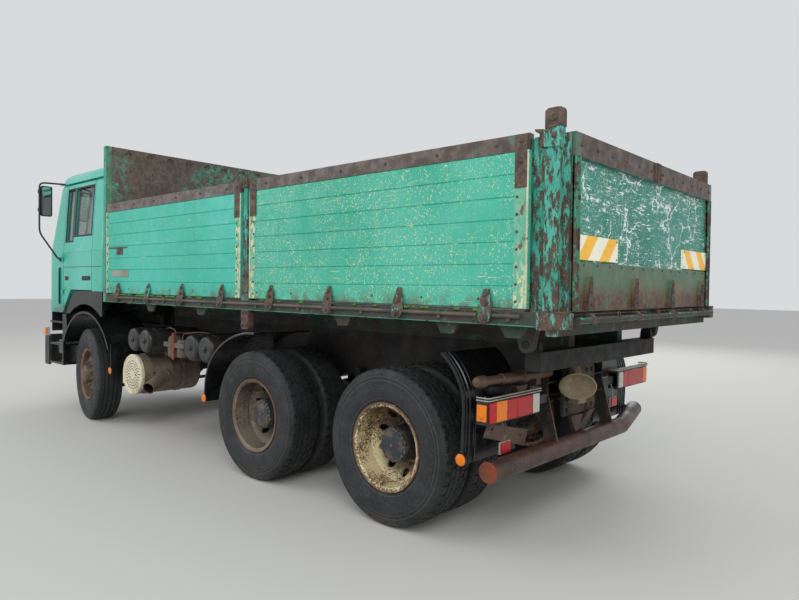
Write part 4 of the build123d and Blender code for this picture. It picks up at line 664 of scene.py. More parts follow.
class Shape:
    """Closed solids gathered into one mesh; x is measured from start."""

    def __init__(self, start=0.0):
        self.mesh = bmesh.new()
        self.start = start

    def loft(self, rings, loop=False):
        """Skin a row of point rings; a ring of one point is a tip and open ends are capped."""
        made = [[self.mesh.verts.new(point) for point in ring] for ring in rings]
        following = made[1:] + made[:1] if loop else made[1:]
        for low, high in zip(made, following):
            count = max(len(low), len(high))
            for k in range(count):
                after = (k + 1) % count
                corners = [low[k], low[after]] if len(low) > 1 else [low[0]]
                corners += [high[after], high[k]] if len(high) > 1 else [high[0]]
                self.mesh.faces.new(corners)
        if not loop:
            for ring in (made[0], made[-1]):
                if len(ring) > 2:
                    self.mesh.faces.new(ring)

    def lathe(self, origin, axis, profile, steps, loop=False):
        """Turn (distance along, radius) points about an axis."""
        u, v, w = frame_of(axis)
        centres = [(Vector(origin) + along * w, radius) for along, radius in profile]
        self.loft([circle(spot, u, v, steps, radius) if radius else [spot] for spot, radius in centres], loop)

    def band(self, origin, axis, width, inner, outer, steps):
        """A flat ring round something."""
        self.lathe(origin, axis, ((0, inner), (0, outer), (width, outer), (width, inner)), steps, loop=True)

    def rod(self, start, end, radius, steps=12):
        reach = Vector(end) - Vector(start)
        self.lathe(start, reach, ((0, radius), (reach.length, radius)), steps)

    def tube(self, points, radius, steps=10, bend=0.05):
        """A bent pipe or wire through the points."""
        path = rounded(points, bend)
        u, v, w = frame_of(path[1] - path[0])
        rings = []
        for place, into in zip(path, directions(path)):
            turn = w.rotation_difference(into)
            u, v, w = turn @ u, turn @ v, into
            rings.append(circle(place, u, v, steps, radius))
        self.loft(rings)

    def prism(self, corners, axis, start, end):
        """Raise a polygon along x, y or z; its corners hold the two other coordinates in order."""
        spot = "xyz".index(axis)
        self.loft([[(*corner[:spot], level, *corner[spot:]) for corner in corners] for level in (start, end)])

    def box(self, corner, opposite):
        (x0, y0, z0), (x1, y1, z1) = corner, opposite
        self.prism(((x0, y0), (x1, y0), (x1, y1), (x0, y1)), "z", z0, z1)

    def bolt(self, place, out, size=0.009):
        """A washer, a hexagon and its chamfered top."""
        self.lathe(place, out, ((0, 1.35 * size), (0.18 * size, 1.35 * size), (0.2 * size, 1.3 * size)), 16)
        self.lathe(place, out, ((0.1 * size, size), (0.85 * size, size), (size, 0.8 * size), (size, 0)), 6)

    def rivet(self, place, out, size):
        """A domed head."""
        self.lathe(place, out,
                   ((0, size), (0.35 * size, 0.9 * size), (0.6 * size, 0.6 * size), (0.7 * size, 0)), 10)

    def piece(self, name, body, look, slot, bevel=0.0, smooth=32, both=False, side=1):
        """Make the object, let it ride on a body and give it its finish; both adds the mirror image."""
        mesh = self.mesh.copy()
        bmesh.ops.scale(mesh, verts=mesh.verts[:], vec=(1, side, 1))
        if both:
            twin = bmesh.ops.duplicate(mesh, geom=mesh.verts[:] + mesh.edges[:] + mesh.faces[:])["geom"]
            points = [item for item in twin if isinstance(item, bmesh.types.BMVert)]
            bmesh.ops.scale(mesh, verts=points, vec=(1, -1, 1))
        bmesh.ops.translate(mesh, verts=mesh.verts[:], vec=(self.start, 0, 0))
        bmesh.ops.recalc_face_normals(mesh, faces=mesh.faces[:])
        sharp = cos(radians(smooth))
        for edge in mesh.edges:
            faces = edge.link_faces
            edge.smooth = len(faces) == 2 and faces[0].normal.dot(faces[1].normal) > sharp
        for face in mesh.faces:
            face.smooth = True
        data = bpy.data.meshes.new(name)
        mesh.to_mesh(data)
        mesh.free()
        made = add_object(name, data)
        data.materials.append(looks[look])
        if bevel:
            edges = made.modifiers.new("edges", "BEVEL")
            edges.width = bevel
            edges.segments = 2
            edges.limit_method = "ANGLE"
            edges.angle_limit = radians(40)
            edges.harden_normals = False
        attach(made, body)
        return made

    def pair(self, name, body, look, slot, bevel=0.0, smooth=32):
        """A piece on each side, the right one mirrored; {} in the names is the side."""
        return [self.piece(name.format(side_name), body.format(side_name), look, slot, bevel, smooth, side=side)
                for side_name, side in SIDES]


# Tyres

# Columns: distance from the tyre's middle plane, radius
side_profile = (
    (0.108, 0.2868), (0.119, 0.299), (0.1215, 0.309), (0.1285, 0.319), (0.1375, 0.347), (0.1432, 0.376),
    (0.145, 0.404), (0.1438, 0.431), (0.1445, 0.4335), (0.1405, 0.459), (0.1392, 0.472), (0.1402, 0.476),
    (0.1375, 0.49), (0.1352, 0.507), (0.1298, 0.519), (0.122, 0.528),
)
groove_depth = 0.012
crown_half, crown_drop = 0.113, 0.006
# Columns: pitches, where each rises, is up, falls and is down, cut and shift of the shoulder's row, of the
# inner row and of the centre row
lugs = (44, (0, 0.06, 0.74, 0.8), (0.009, 0.0), (0.006, 0.5), (0.004, 0.25))
ribs = (96, (0, 0.1, 0.8, 0.9), (0.0025, 0), (0.0008, 0.4), (0.0008, 0))


def tread_row(shoulder, inner, centre):
    """Points across the tread: distance, depth between lugs, depth always, shift along the pitch."""
    return (
        (0.118, shoulder[0], 0.004, shoulder[1]), (0.113, shoulder[0], 0, shoulder[1]),
        (0.076, shoulder[0], 0, shoulder[1]), (0.074, 0, groove_depth, shoulder[1]),
        (0.067, 0, groove_depth, inner[1]), (0.065, inner[0], 0, inner[1]),
        (0.033, inner[0], 0, inner[1]), (0.031, 0, groove_depth, inner[1]),
        (0.024, 0, groove_depth, centre[1]), (0.022, centre[0], 0, centre[1]),
    )


def tyre_shape(shape, centre, axis, tread):
    """One tyre: bead, sidewall rings, shoulder and a tread cut by grooves and cross cuts."""
    u, v, w = frame_of(axis)
    pitches, fractions, *rows = tread
    across = [(offset, radius, 0, 0, 0) for offset, radius in side_profile]
    across += [(offset, tyre_radius - crown_drop * (offset / crown_half) ** 2, cut, depth, shift)
               for offset, cut, depth, shift in tread_row(*rows)]
    across += [(-offset, *others) for offset, *others in reversed(across)]
    rings = []
    for row in range(4 * pitches):
        pitch, part = divmod(row, 4)
        ring = []
        for offset, radius, cut, depth, shift in across:
            reach = radius - depth - (0 if part in (1, 2) else cut)
            turn = 2 * pi * (pitch + fractions[part] + shift) / pitches
            ring.append(centre + offset * w + reach * (cos(turn) * u + sin(turn) * v))
        rings.append(ring)
    shape.loft(rings, loop=True)


def wheel_frame(axle, side):
    """A wheel's centre and its outward direction."""
    if axle == "front":
        centre = middle_of("tyre_front_left" if side > 0 else "tyre_front_right")
        return centre, Vector((-side * sin(rest_steer), side * cos(rest_steer), 0))
    centre_x = middle_x if axle == "middle" else rear_x
    return Vector((centre_x, side * twin_middle, tyre_radius)), Vector((0, side, 0))


def add_tyres():
    for side_name, side in SIDES:
        for axle in ("front", "middle", "rear"):
            centre, out = wheel_frame(axle, side)
            shape = Shape()
            if axle == "front":
                tyre_shape(shape, centre, out, ribs)
            else:
                for shift in (-twin_spacing / 2, twin_spacing / 2):
                    tyre_shape(shape, centre + side * shift * Y_AXIS, Y_AXIS, lugs)
            wheel = f"{axle}_{side_name}"
            made = shape.piece(f"treaded_{wheel}", f"wheel_{wheel}", f"tyre_{axle}", "tyre_rubber")
            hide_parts(f"tyre_{wheel}")


# Wheel trim

# Columns: axle, nuts' seat outward from the wheel's centre and circle, hub bolts' seat, circle and number, slot
nut_rows = (
    ("front", 0.095, 0.138, 0.148, 0.088, 8, "rim_rust"),
    ("middle", 0.012, 0.1675, 0.212, 0.104, 10, "rim_rust"),
    ("rear", 0.012, 0.1675, 0.212, 0.104, 10, "rim_cream"),
)
cap_profile = ((0.006, 0.088), (0.016, 0.086), (0.02, 0.078), (0.0205, 0.058), (0.024, 0.054), (0.024, 0.03),
               (0.029, 0.027), (0.029, 0))


def add_wheel_trim():
    """Nuts on their studs, hub bolts, the drive hubs' lobed caps and a valve."""
    for axle, nut_seat, nut_circle, bolt_seat, bolt_circle, bolts, slot in nut_rows:
        for side_name, side in SIDES:
            centre, out = wheel_frame(axle, side)
            u, v, w = frame_of(out)
            wheel = f"{axle}_{side_name}"
            shape = Shape()
            for spot in circle(centre + nut_seat * w, u, v, 10, nut_circle, shift=0.5):
                shape.bolt(spot, w, 0.0185)
                shape.lathe(spot, w, ((0.012, 0.0105), (0.032, 0.0105), (0.034, 0.009), (0.034, 0)), 12)
            for spot in circle(centre + bolt_seat * w, u, v, bolts, bolt_circle):
                shape.bolt(spot, w, 0.009)
            if axle != "front":
                cap = Shape()
                cap.lathe(centre + 0.2 * w, w, cap_profile, 40)
                for spot in circle(centre + 0.204 * w, u, v, 10, 0.103, shift=0.5):
                    cap.lathe(spot, w, ((-0.01, 0.018), (0.007, 0.0175), (0.012, 0.013), (0.013, 0)), 14)
                cap.piece(f"hub_cap_{wheel}", f"wheel_{wheel}", "hub_cap", slot, bevel=0.0006)
                plug = ((0, 0.015), (0.002, 0.015), (0.005, 0.011), (0.0055, 0))
                shape.lathe(centre + 0.228 * w, w, plug, 16)
            valve = centre + 0.235 * u + (nut_seat + 0.03) * w
            shape.lathe(valve, u + 0.4 * w,
                        ((-0.02, 0.006), (0.035, 0.005), (0.036, 0.007), (0.05, 0.007), (0.05, 0)), 10)
            shape.piece(f"wheel_nuts_{wheel}", f"wheel_{wheel}", "nut", slot)


# Flap trim

# Columns: flap, rear end, front end, strip widths and irons at both, hinge stations
flap_rows = (
    ("rear", -1.11, 1.513, (0.09, 0.075), (True, True), (-0.845, -0.161, 0.52, 1.208)),
    ("front", 1.637, 4.193, (0.075, 0.045), (True, False), (1.903, 2.572, 3.221, 3.887)),
)
iron_width = 0.078
skin = flap_face + 0.003
# Columns: height, half width of a hinge strap
strap_rows = ((1.626, 0.008), (1.622, 0.014), (1.57, 0.036), (1.535, 0.046), (1.50, 0.050), (1.462, 0.047),
              (1.438, 0.036), (1.426, 0.018))
# A hinge strap's slope: the height where it leaves the flap, and how far it stands out per metre below that
strap_top = 1.622
strap_slope = 0.029 / 0.17


def add_flap_trim():
    """Edge strips with their beads and rivets, corner irons and the rail's bolts."""
    for flap, rear_end, front_end, widths, with_irons, _ in flap_rows:
        strips, beads, irons = Shape(rear_x), Shape(rear_x), Shape(rear_x)
        for end, inward, width, has_iron in zip((rear_end, front_end), (1, -1), widths, with_irons):
            start = end + 0.002 * inward
            low, high = flap_bottom + 0.002, rail_bottom - 0.001
            strips.box((start, flap_face - 0.002, low), (start + inward * width, skin, high))
            beads.box((start, flap_face, low), (start + inward * 0.012, flap_face + 0.007, high))
            for k in range(7 if has_iron else 9):
                height = flap_bottom + 0.04 + 0.098 * k
                irons.rivet((start + inward * (width - 0.018), skin, height), Y_AXIS, 0.009)
            if has_iron:
                near = start + inward * 0.009
                irons.box((near, skin, 2.19), (near + inward * iron_width, skin + 0.0065, 2.484))
                for height in (2.225, 2.335, 2.445):
                    irons.rivet((near + inward * iron_width / 2, skin + 0.0065, height), Y_AXIS, 0.0125)
        length = front_end - rear_end
        count = int(length / 0.42)
        for k in range(count):
            along = rear_end + length * (k + 0.5) / count
            irons.bolt((along, flap_face + 0.004, 2.441), Y_AXIS, 0.0085)
            irons.rivet((along + 0.11, flap_face, flap_bottom + 0.052), Y_AXIS, 0.008)
        body = f"side_flap_{flap}_{{}}"
        strips.pair(f"edge_strips_{flap}_{{}}", body, "strip", "flap_green", bevel=0.001)
        beads.pair(f"edge_beads_{flap}_{{}}", body, "cream_edge", "flap_green", bevel=0.0015)
        irons.pair(f"corner_irons_{flap}_{{}}", body, "iron", "flap_green", bevel=0.001)


def add_hinge_straps():
    """Teardrop straps with bolts and nuts on the flaps, and split rings beside them, which stay on the bed."""
    rings = Shape(rear_x)
    for flap, *_, stations in flap_rows:
        straps, pins = Shape(rear_x), Shape(rear_x)
        for along in stations:
            sections = []
            for height, half in strap_rows:
                face = 1.242 + strap_slope * (strap_top - min(height, strap_top))
                sections.append([(along - half, face - 0.004, height), (along + half, face - 0.004, height),
                                 (along + half, face + 0.004, height), (along - half, face + 0.004, height)])
            straps.loft(sections)
            for height in (1.588, 1.535):
                pins.bolt((along, 1.246 + strap_slope * (strap_top - height), height), Y_AXIS, 0.0115)
            pins.lathe((along, hinge_y + 0.012, hinge_z), Y_AXIS,
                       ((0, 0.028), (0.005, 0.028), (0.006, 0.02), (0.006, 0)), 20)
            pins.bolt((along, hinge_y + 0.018, hinge_z), Y_AXIS, 0.0125)
            ring = [(along + 0.062, hinge_y + 0.004, hinge_z + 0.004)]
            ring += [(along + 0.072 + 0.014 * sin(t), hinge_y + 0.002, hinge_z - 0.02 + 0.018 * cos(t))
                     for t in (0.3, 1.2, 2.2, 3.2, 4.2, 5.2)]
            rings.tube(ring, 0.0025, 8, bend=0.006)
        body = f"side_flap_{flap}_{{}}"
        straps.pair(f"hinge_straps_{flap}_{{}}", body, "strap", "flap_green", bevel=0.002)
        pins.pair(f"hinge_pins_{flap}_{{}}", body, "iron", "flap_green")
    rings.piece("hinge_rings", "bed", "iron", "bed_steel", both=True)


def add_flap_plate():
    """The blank plate and the rusted recess on the front left flap."""
    plate, bracket = Shape(rear_x), Shape(rear_x)
    plate.box((3.67, flap_face - 0.002, 1.692), (4.06, flap_face + 0.004, 1.762))
    for x in (3.684, 4.046):
        for height in (1.706, 1.748):
            plate.rivet((x, flap_face + 0.004, height), Y_AXIS, 0.005)
    plate.piece("blank_plate", "side_flap_front_left", "plate", "flap_green", bevel=0.001)
    bracket.box((3.70, flap_face - 0.001, 1.995), (4.13, flap_face + 0.006, 2.007))
    bracket.box((3.80, flap_face - 0.001, 1.925), (3.95, skin, 1.995))
    bracket.rivet((3.875, skin, 1.955), Y_AXIS, 0.014)
    bracket.piece("rusted_bracket", "side_flap_front_left", "iron", "flap_green", bevel=0.001)


# Tailgate trim, with x from the gate's outer face

gate_face = rear_x - 1.335
strap_stations = (0.97, 0.32, -0.32, -0.97)


def add_gate_trim():
    """Side irons, rail bolts, the latch, tapered straps and marker boards."""
    irons, hardware, boards, screws = (Shape(gate_face) for _ in range(4))
    inner, outer = gate_half - 0.062, gate_half - 0.001
    irons.box((-0.009, inner, 1.508), (0.01, outer, 2.347))
    for edge in (inner, outer - 0.008):
        irons.box((-0.018, edge, 1.508), (0.004, edge + 0.008, 2.347))
    irons.piece("gate_side_irons", "tailgate", "gate_iron", "gate_green", bevel=0.0015, both=True)
    for side in (1, -1):
        for height in (1.555, 1.66, 1.795, 1.93, 2.07, 2.2, 2.31):
            hardware.rivet((-0.009, side * (gate_half - 0.03), height), BACK, 0.01)
        # A knob of the hinge pin beside the post
        hardware.lathe((0.063, side * 1.1655, 2.44), (0, side, 0),
                       ((0, 0.022), (0.007, 0.022), (0.0075, 0.014)), 20)
    for k in range(12):
        hardware.rivet((-0.014, -1.1 + 0.2 * k, 2.411), BACK, 0.0115)
    for k in range(13):
        hardware.rivet((0, -1.02 + 0.17 * k, 1.762), BACK, 0.008)
    # Latch bracket in the middle of the top rail
    bracket = ((-0.05, 2.35), (0.05, 2.35), (0.05, 2.45), (0.03, 2.474), (-0.05, 2.474))
    hardware.prism(bracket, "x", -0.024, -0.012)
    hardware.box((-0.03, -0.012, 2.34), (-0.02, 0.02, 2.47))
    hardware.rod((-0.024, 0.035, 2.40), (-0.024, -0.06, 2.372), 0.006)
    for centre in strap_stations:
        outline = ((-0.011, 1.70), (0.011, 1.70), (0.034, 1.54), (0.03, 1.509), (-0.03, 1.509), (-0.034, 1.54))
        hardware.prism([(centre + y, z) for y, z in outline], "x", -0.0275, -0.02)
        for height in (1.545, 1.615, 1.668):
            hardware.bolt((-0.0275, centre, height), BACK, 0.0075)
    hardware.piece("gate_hardware", "tailgate", "iron", "gate_green", bevel=0.0008)
    boards.box((-0.003, 0.575, 1.79), (0.014, 1.1, 1.928))
    boards.piece("marker_boards", "tailgate", "board", "gate_green", bevel=0.0008, both=True)
    for y in (0.595, 1.08):
        for height in (1.806, 1.912):
            screws.rivet((-0.003, y, height), BACK, 0.006)
    screws.piece("board_screws", "tailgate", "iron", "gate_green", both=True)


# Bed trim

sill_x, sill_z = -1.373, 1.455
# Columns: sleeve's start and end along the tube under the gate
sleeve_rows = ((-1.145, -1.005), (-0.935, -0.355), (-0.285, 0.285), (0.355, 0.935), (1.005, 1.145))


def add_sill():
    """Sleeves on the tube under the gate, the knuckles between them and the angle above."""
    sleeves, knuckles = Shape(rear_x), Shape(rear_x)
    for start, end in sleeve_rows:
        sleeves.rod((sill_x + 0.0017, start, sill_z), (sill_x + 0.0017, end, sill_z), 0.0185, 20)
    sleeves.piece("sill_sleeves", "bed", "post", "bed_steel", bevel=0.001)
    for centre in strap_stations:
        knuckles.lathe((sill_x + 0.0085, centre - 0.026, sill_z), Y_AXIS, ((0, 0.0255), (0.052, 0.0255)), 24)
        knuckles.prism(((sill_x - 0.016, sill_z + 0.014), (sill_x + 0.02, sill_z + 0.014),
                        (sill_x + 0.05, 1.494), (sill_x + 0.012, 1.494)), "y", centre - 0.022, centre + 0.022)
        for way in (1, -1):
            knuckles.bolt((sill_x, centre + 0.026 * way, sill_z), (0, way, 0), 0.011)
    for y in (0.64, 0.0, -0.64):
        knuckles.tube(((sill_x - 0.0105, y - 0.02, sill_z + 0.012), (sill_x - 0.006, y - 0.012, sill_z + 0.04),
                       (sill_x - 0.004, y + 0.012, sill_z + 0.04), (sill_x - 0.0105, y + 0.02, sill_z + 0.012)),
                      0.005, 8, bend=0.01)
    for y0, y1 in ((-1.16, -0.1), (0.1, 1.16)):
        knuckles.prism(((-1.292, 1.484), (-1.33, 1.484), (-1.33, 1.49), (-1.298, 1.49), (-1.298, 1.496),
                        (-1.292, 1.496)), "y", y0, y1)
    knuckles.piece("sill_knuckles", "bed", "iron", "bed_steel", bevel=0.0008)


# Columns: rear end and front end of each length of the ledge's tube
ledge_rows = ((-1.08, -0.90), (-0.79, -0.21), (-0.11, 0.47), (0.57, 1.15), (1.26, 1.85), (1.96, 2.52),
              (2.62, 3.17), (3.27, 3.83))
post_x = -1.25
middle_post_x = 1.575


def on_post(*corners):
    """Points (x, z) measured from the rear post's middle."""
    return [(post_x + x, z) for x, z in corners]


def add_bed_trim():
    """Post caps, latches and bolts, the tube along the ledge and its brackets."""
    caps, latches, tubes, jambs = (Shape(rear_x) for _ in range(4))
    for start, end in ((-1.13, -1.07), (1.47, 1.53), (1.62, 1.68)):
        jambs.box((start, 1.177, 1.498), (end, 1.1885, 2.46))
    face, recess = flap_face, 1.2
    cap = on_post((-0.049, 2.50), (0.048, 2.492), (0.048, 2.588), (0.03, 2.601), (-0.03, 2.6015),
                  (-0.044, 2.596), (-0.049, 2.585))
    caps.prism(cap, "y", 1.175, face + 0.004)
    caps.lathe((post_x - 0.004, skin, 2.553), Y_AXIS,
               ((0, 0.024), (0.004, 0.024), (0.006, 0.019), (0.006, 0.009), (0.003, 0.009), (0.003, 0)), 22)
    plate = on_post((-0.05, 2.385), (0.05, 2.395), (0.052, 2.485), (-0.05, 2.485))
    jambs.prism(plate, "y", face - 0.002, face + 0.008)
    latches.bolt((post_x - 0.012, face + 0.008, 2.45), Y_AXIS, 0.013)
    hook = on_post((0.05, 2.40), (0.075, 2.395), (0.08, 2.47), (0.105, 2.485), (0.11, 2.50), (0.052, 2.492))
    latches.prism(hook, "y", recess + 0.004, face + 0.004)
    latches.rod((post_x + 0.078, skin, 2.43), (post_x + 0.078, recess - 0.002, 2.43), 0.012)
    for height in (2.44, 2.11, 1.76, 1.70):
        latches.rivet((post_x - 0.062, recess, height), Y_AXIS, 0.009)
    patch = on_post((0.095, 2.19), (0.12, 2.19), (0.12, 2.26), (0.095, 2.24))
    latches.prism(patch, "y", recess - 0.001, recess + 0.004)
    latches.box((post_x + 0.055, recess - 0.001, 1.70), (post_x + 0.085, recess + 0.003, 1.79))
    latches.box((post_x - 0.108, 1.2, 1.498), (post_x + 0.07, 1.263, 1.506))
    latches.box((middle_post_x - 0.03, face - 0.03, 2.43), (middle_post_x + 0.03, face + 0.011, 2.503))
    latches.bolt((middle_post_x, face + 0.011, 2.468), Y_AXIS, 0.011)
    # Columns: height, distance from the post's middle, y, size
    for height, shift, y, size in ((1.56, 0.028, face, 0.008), (1.70, 0.028, face, 0.008),
                                   (1.39, 0.03, 1.24, 0.010), (1.29, 0.03, 1.24, 0.010)):
        for x in (middle_post_x - shift, middle_post_x + shift):
            latches.bolt((x, y, height), Y_AXIS, size)
    for low_x, high_x in ledge_rows:
        tubes.rod((low_x, 1.258, 1.470), (high_x, 1.258, 1.470), 0.0125, 14)
    for station in (-1.0, -0.5, 0.18, 0.86, 1.4, 2.24, 2.9, 3.55):
        tubes.box((station - 0.012, 1.24, 1.44), (station + 0.012, 1.2585, 1.49))
    jambs.piece("flap_jambs", "bed", "post", "post_green", bevel=0.001, both=True)
    caps.piece("post_caps", "bed", "iron", "post_green", bevel=0.003, both=True)
    latches.piece("post_latches", "bed", "iron", "post_green", bevel=0.0012, both=True)
    tubes.piece("ledge_tubes", "bed", "pipe", "bed_steel", both=True)


def add_moss():
    """Clumps of moss in the dirt along the ledge."""
    chance = Random(7)
    shape = Shape(rear_x)
    for start, end, count in ((2.25, 4.12, 46), (-0.9, 1.4, 12)):
        for _ in range(count):
            x, y = chance.uniform(start, end), chance.uniform(1.241, 1.251)
            for _ in range(chance.randint(2, 5)):
                size = chance.uniform(0.006, 0.013)
                spot = (x + chance.uniform(-0.016, 0.016), y + chance.uniform(-0.002, 0.004), 1.496)
                tilt = (chance.uniform(-0.4, 0.4), chance.uniform(-0.3, 0.5), 1)
                clump = ((0, size), (0.3 * size, 1.15 * size), (0.9 * size, 0.7 * size), (1.1 * size, 0))
                shape.lathe(spot, tilt, clump, 7)
    shape.piece("ledge_moss", "bed", "moss", "bed_steel")


def add_tarp_hooks():
    """Wire loops along the headboard's top edge, on the side of the load."""
    low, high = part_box("headboard")
    top = high[2]
    shape = Shape(low[0])
    for k in range(9):
        y = -1.0 + 0.25 * k
        shape.tube(((0.004, y - 0.03, top - 0.06), (-0.02, y - 0.03, top - 0.055), (-0.026, y, top - 0.02),
                    (-0.02, y + 0.03, top - 0.055), (0.004, y + 0.03, top - 0.06)), 0.0045, 8, bend=0.012)
    shape.piece("tarp_hooks", "bed", "iron", "post_green")


# Tail

lamp_face = rear_x - 0.835
plate_face = rear_x - 0.80
# Columns: side, centre, height, width, segments from the outside: share of the width and finish
lens_rows = (
    ("left", 1, 0.905, 0.885, 0.6,
     ((0.13, "red_lens"), (0.2, "amber_lens"), (0.2, "red_lens"), (0.33, "red_lens"), (0.14, "clear_lens"))),
    ("right", -1, 0.915, 0.905, 0.59,
     ((0.14, "amber_lens"), (0.56, "red_lens"), (0.16, "red_lens"), (0.14, "clear_lens"))),
)


def add_tail_lamps():
    """Each lamp's housing with its coloured segments, the reflector at its end and the wire guard."""
    for side_name, side, centre, height, width, segments in lens_rows:
        housing, reflector, wire = (Shape(lamp_face) for _ in range(3))
        inner, outer = centre - width / 2, centre + width / 2
        housing.box((-0.004, inner, height - 0.073), (0.075, outer, height + 0.073))
        edge = outer - 0.012
        count = {}
        for share, look in segments:
            step = share * (width - 0.024)
            lens = Shape(lamp_face)
            lens.box((-0.016, edge - step + 0.003, height - 0.062), (-0.002, edge, height + 0.062))
            count[look] = count.get(look, 0) + 1
            lens.piece(f"{look}_{side_name}_{count[look]}", "chassis", look, "lamp_lens", bevel=0.004,
                       side=side)
            edge -= step
        reflector.box((0, outer + 0.001, height - 0.05), (0.068, outer + 0.009, height + 0.05))
        reflector.lathe((0.034, outer + 0.009, height - 0.012), Y_AXIS,
                        ((0, 0.02), (0.004, 0.02), (0.006, 0.014), (0.006, 0)), 20)
        inner, outer = inner - 0.01, outer + 0.01
        for level in (height + 0.076, height + 0.092):
            wire.tube(((0.07, inner, level), (-0.018, inner, level), (-0.018, outer, level),
                       (0.07, outer, level)), 0.0045, 8, bend=0.02)
        for y in (inner + 0.03, outer - 0.03):
            wire.rod((0.03, y, height + 0.07), (0.03, y, height + 0.094), 0.004, 8)
        reflector.piece(f"side_reflector_{side_name}", "chassis", "amber_lens", "lamp_lens", bevel=0.002,
                        side=side)
        housing.piece(f"lamp_housing_{side_name}", "chassis", "grille", "lamp_lens", bevel=0.003, side=side)
        wire.piece(f"lamp_guard_{side_name}", "chassis", "plate", "frame_black", side=side)


def add_tail_plates():
    """The tilted brown plate under the left lamp, the caked tube above it and the small reflectors."""
    plate, tube, red, rims = (Shape(plate_face) for _ in range(4))
    plate.prism(((1.150, 0.815), (0.690, 0.710), (0.732, 0.611), (1.190, 0.738)), "x", -0.006, 0)
    for y, z in ((1.10, 0.775), (0.78, 0.69)):
        plate.bolt((-0.006, y, z), BACK)
    plate.rod((-0.003, 0.95, 0.76), (0.02, 0.95, 0.83), 0.009)
    plate.piece("tilted_plate", "chassis", "brown", "frame_black", bevel=0.001)
    tube.lathe((0.005, 0.40, 1.055), (0, 1, 0.02),
               ((0, 0.03), (0.30, 0.031), (0.31, 0.043), (0.36, 0.045), (0.37, 0.034), (0.60, 0.035),
                (0.61, 0.028), (0.78, 0.028), (0.785, 0.037), (0.84, 0.037), (0.865, 0.027), (0.87, 0)), 24)
    tube.prism(((0.72, 1.01), (0.86, 1.01), (0.82, 0.95), (0.76, 0.95)), "x", -0.02, 0.03)
    tube.box((-0.012, 0.54, 0.99), (0.04, 0.6, 1.12))
    tube.piece("caked_tube", "chassis", "brown", "axle_grime", bevel=0.002)
    for y, z in ((0.96, 0.642), (-0.62, 0.73)):
        red.box((-0.019, y - 0.05, z - 0.032), (-0.006, y + 0.05, z + 0.032))
        rims.box((-0.008, y - 0.06, z - 0.038), (0, y + 0.062, z + 0.038))
        rims.tube(((-0.002, y, z + 0.03), (-0.002, y, z + 0.09), (0.02, y, z + 0.16)), 0.005, 8)
    red.piece("square_reflectors", "chassis", "red_lens", "lamp_lens", bevel=0.002)
    rims.piece("reflector_rims", "chassis", "plate", "frame_black", bevel=0.001)
    discs, backs = Shape(rear_x), Shape(rear_x)
    for place in ((-0.648, 1.202, 0.578), (2.245, 1.202, 0.59), (4.18, 1.197, 0.65)):
        discs.lathe(place, Y_AXIS, ((0, 0.036), (0.006, 0.036), (0.011, 0.028), (0.013, 0)), 28)
        backs.lathe(place, Y_AXIS, ((-0.004, 0.041), (0.004, 0.041), (0.004, 0.037), (0, 0.037), (0, 0)), 28)
    discs.piece("round_reflectors", "chassis", "amber_lens", "lamp_lens", both=True)
    backs.piece("round_reflector_rims", "chassis", "grille", "guard_plastic", both=True)


def arc_from(start, heading, end, steps):
    """Points on the arc that leaves start along heading and meets end, and the heading there."""
    chord = end - start
    square = Vector((-heading.y, heading.x))
    centre = start + chord.length_squared / (2 * square.dot(chord)) * square
    turn = 2 * heading.angle_signed(chord)
    spins = [Matrix.Rotation(-turn * k / steps, 2) for k in range(1, steps + 1)]
    return [centre + spin @ (start - centre) for spin in spins], spins[-1] @ heading


# Columns: wheel x, direction away from the bogie, then x and z of foot, knee, shoulder and top
guard_rows = (
    (rear_x, -1, ((0.645, 0.545), (0.655, 0.880), (0.618, 1.050), (0.480, 1.215))),
    (middle_x, 1, ((0.745, 0.560), (0.740, 0.680), (0.560, 1.030), (0.0, 1.215))),
)
# Columns: rib's middle, half width, height over the mudguard
rib_rows = ((1.193, 0.007, 0.014), (1.162, 0.011, 0.012), (1.122, 0.014, 0.011), (1.076, 0.014, 0.010))


def guard_line(wheel_x, direction, stations):
    """Points (x, z) along a mudguard's profile, each with its outward direction."""
    foot, knee, shoulder, top = [Vector((wheel_x + direction * along, height)) for along, height in stations]
    bend, heading = arc_from(knee, (knee - foot).normalized(), shoulder, 8)
    crest, _ = arc_from(shoulder, heading, top, 12)
    path = [foot, knee, *bend, *crest]
    squares = [Vector((-into.y, into.x)) for into in directions(path)]
    outward = Vector((direction, 0.3))
    return [(spot, square if square.dot(outward) > 0 else -square) for spot, square in zip(path, squares)]


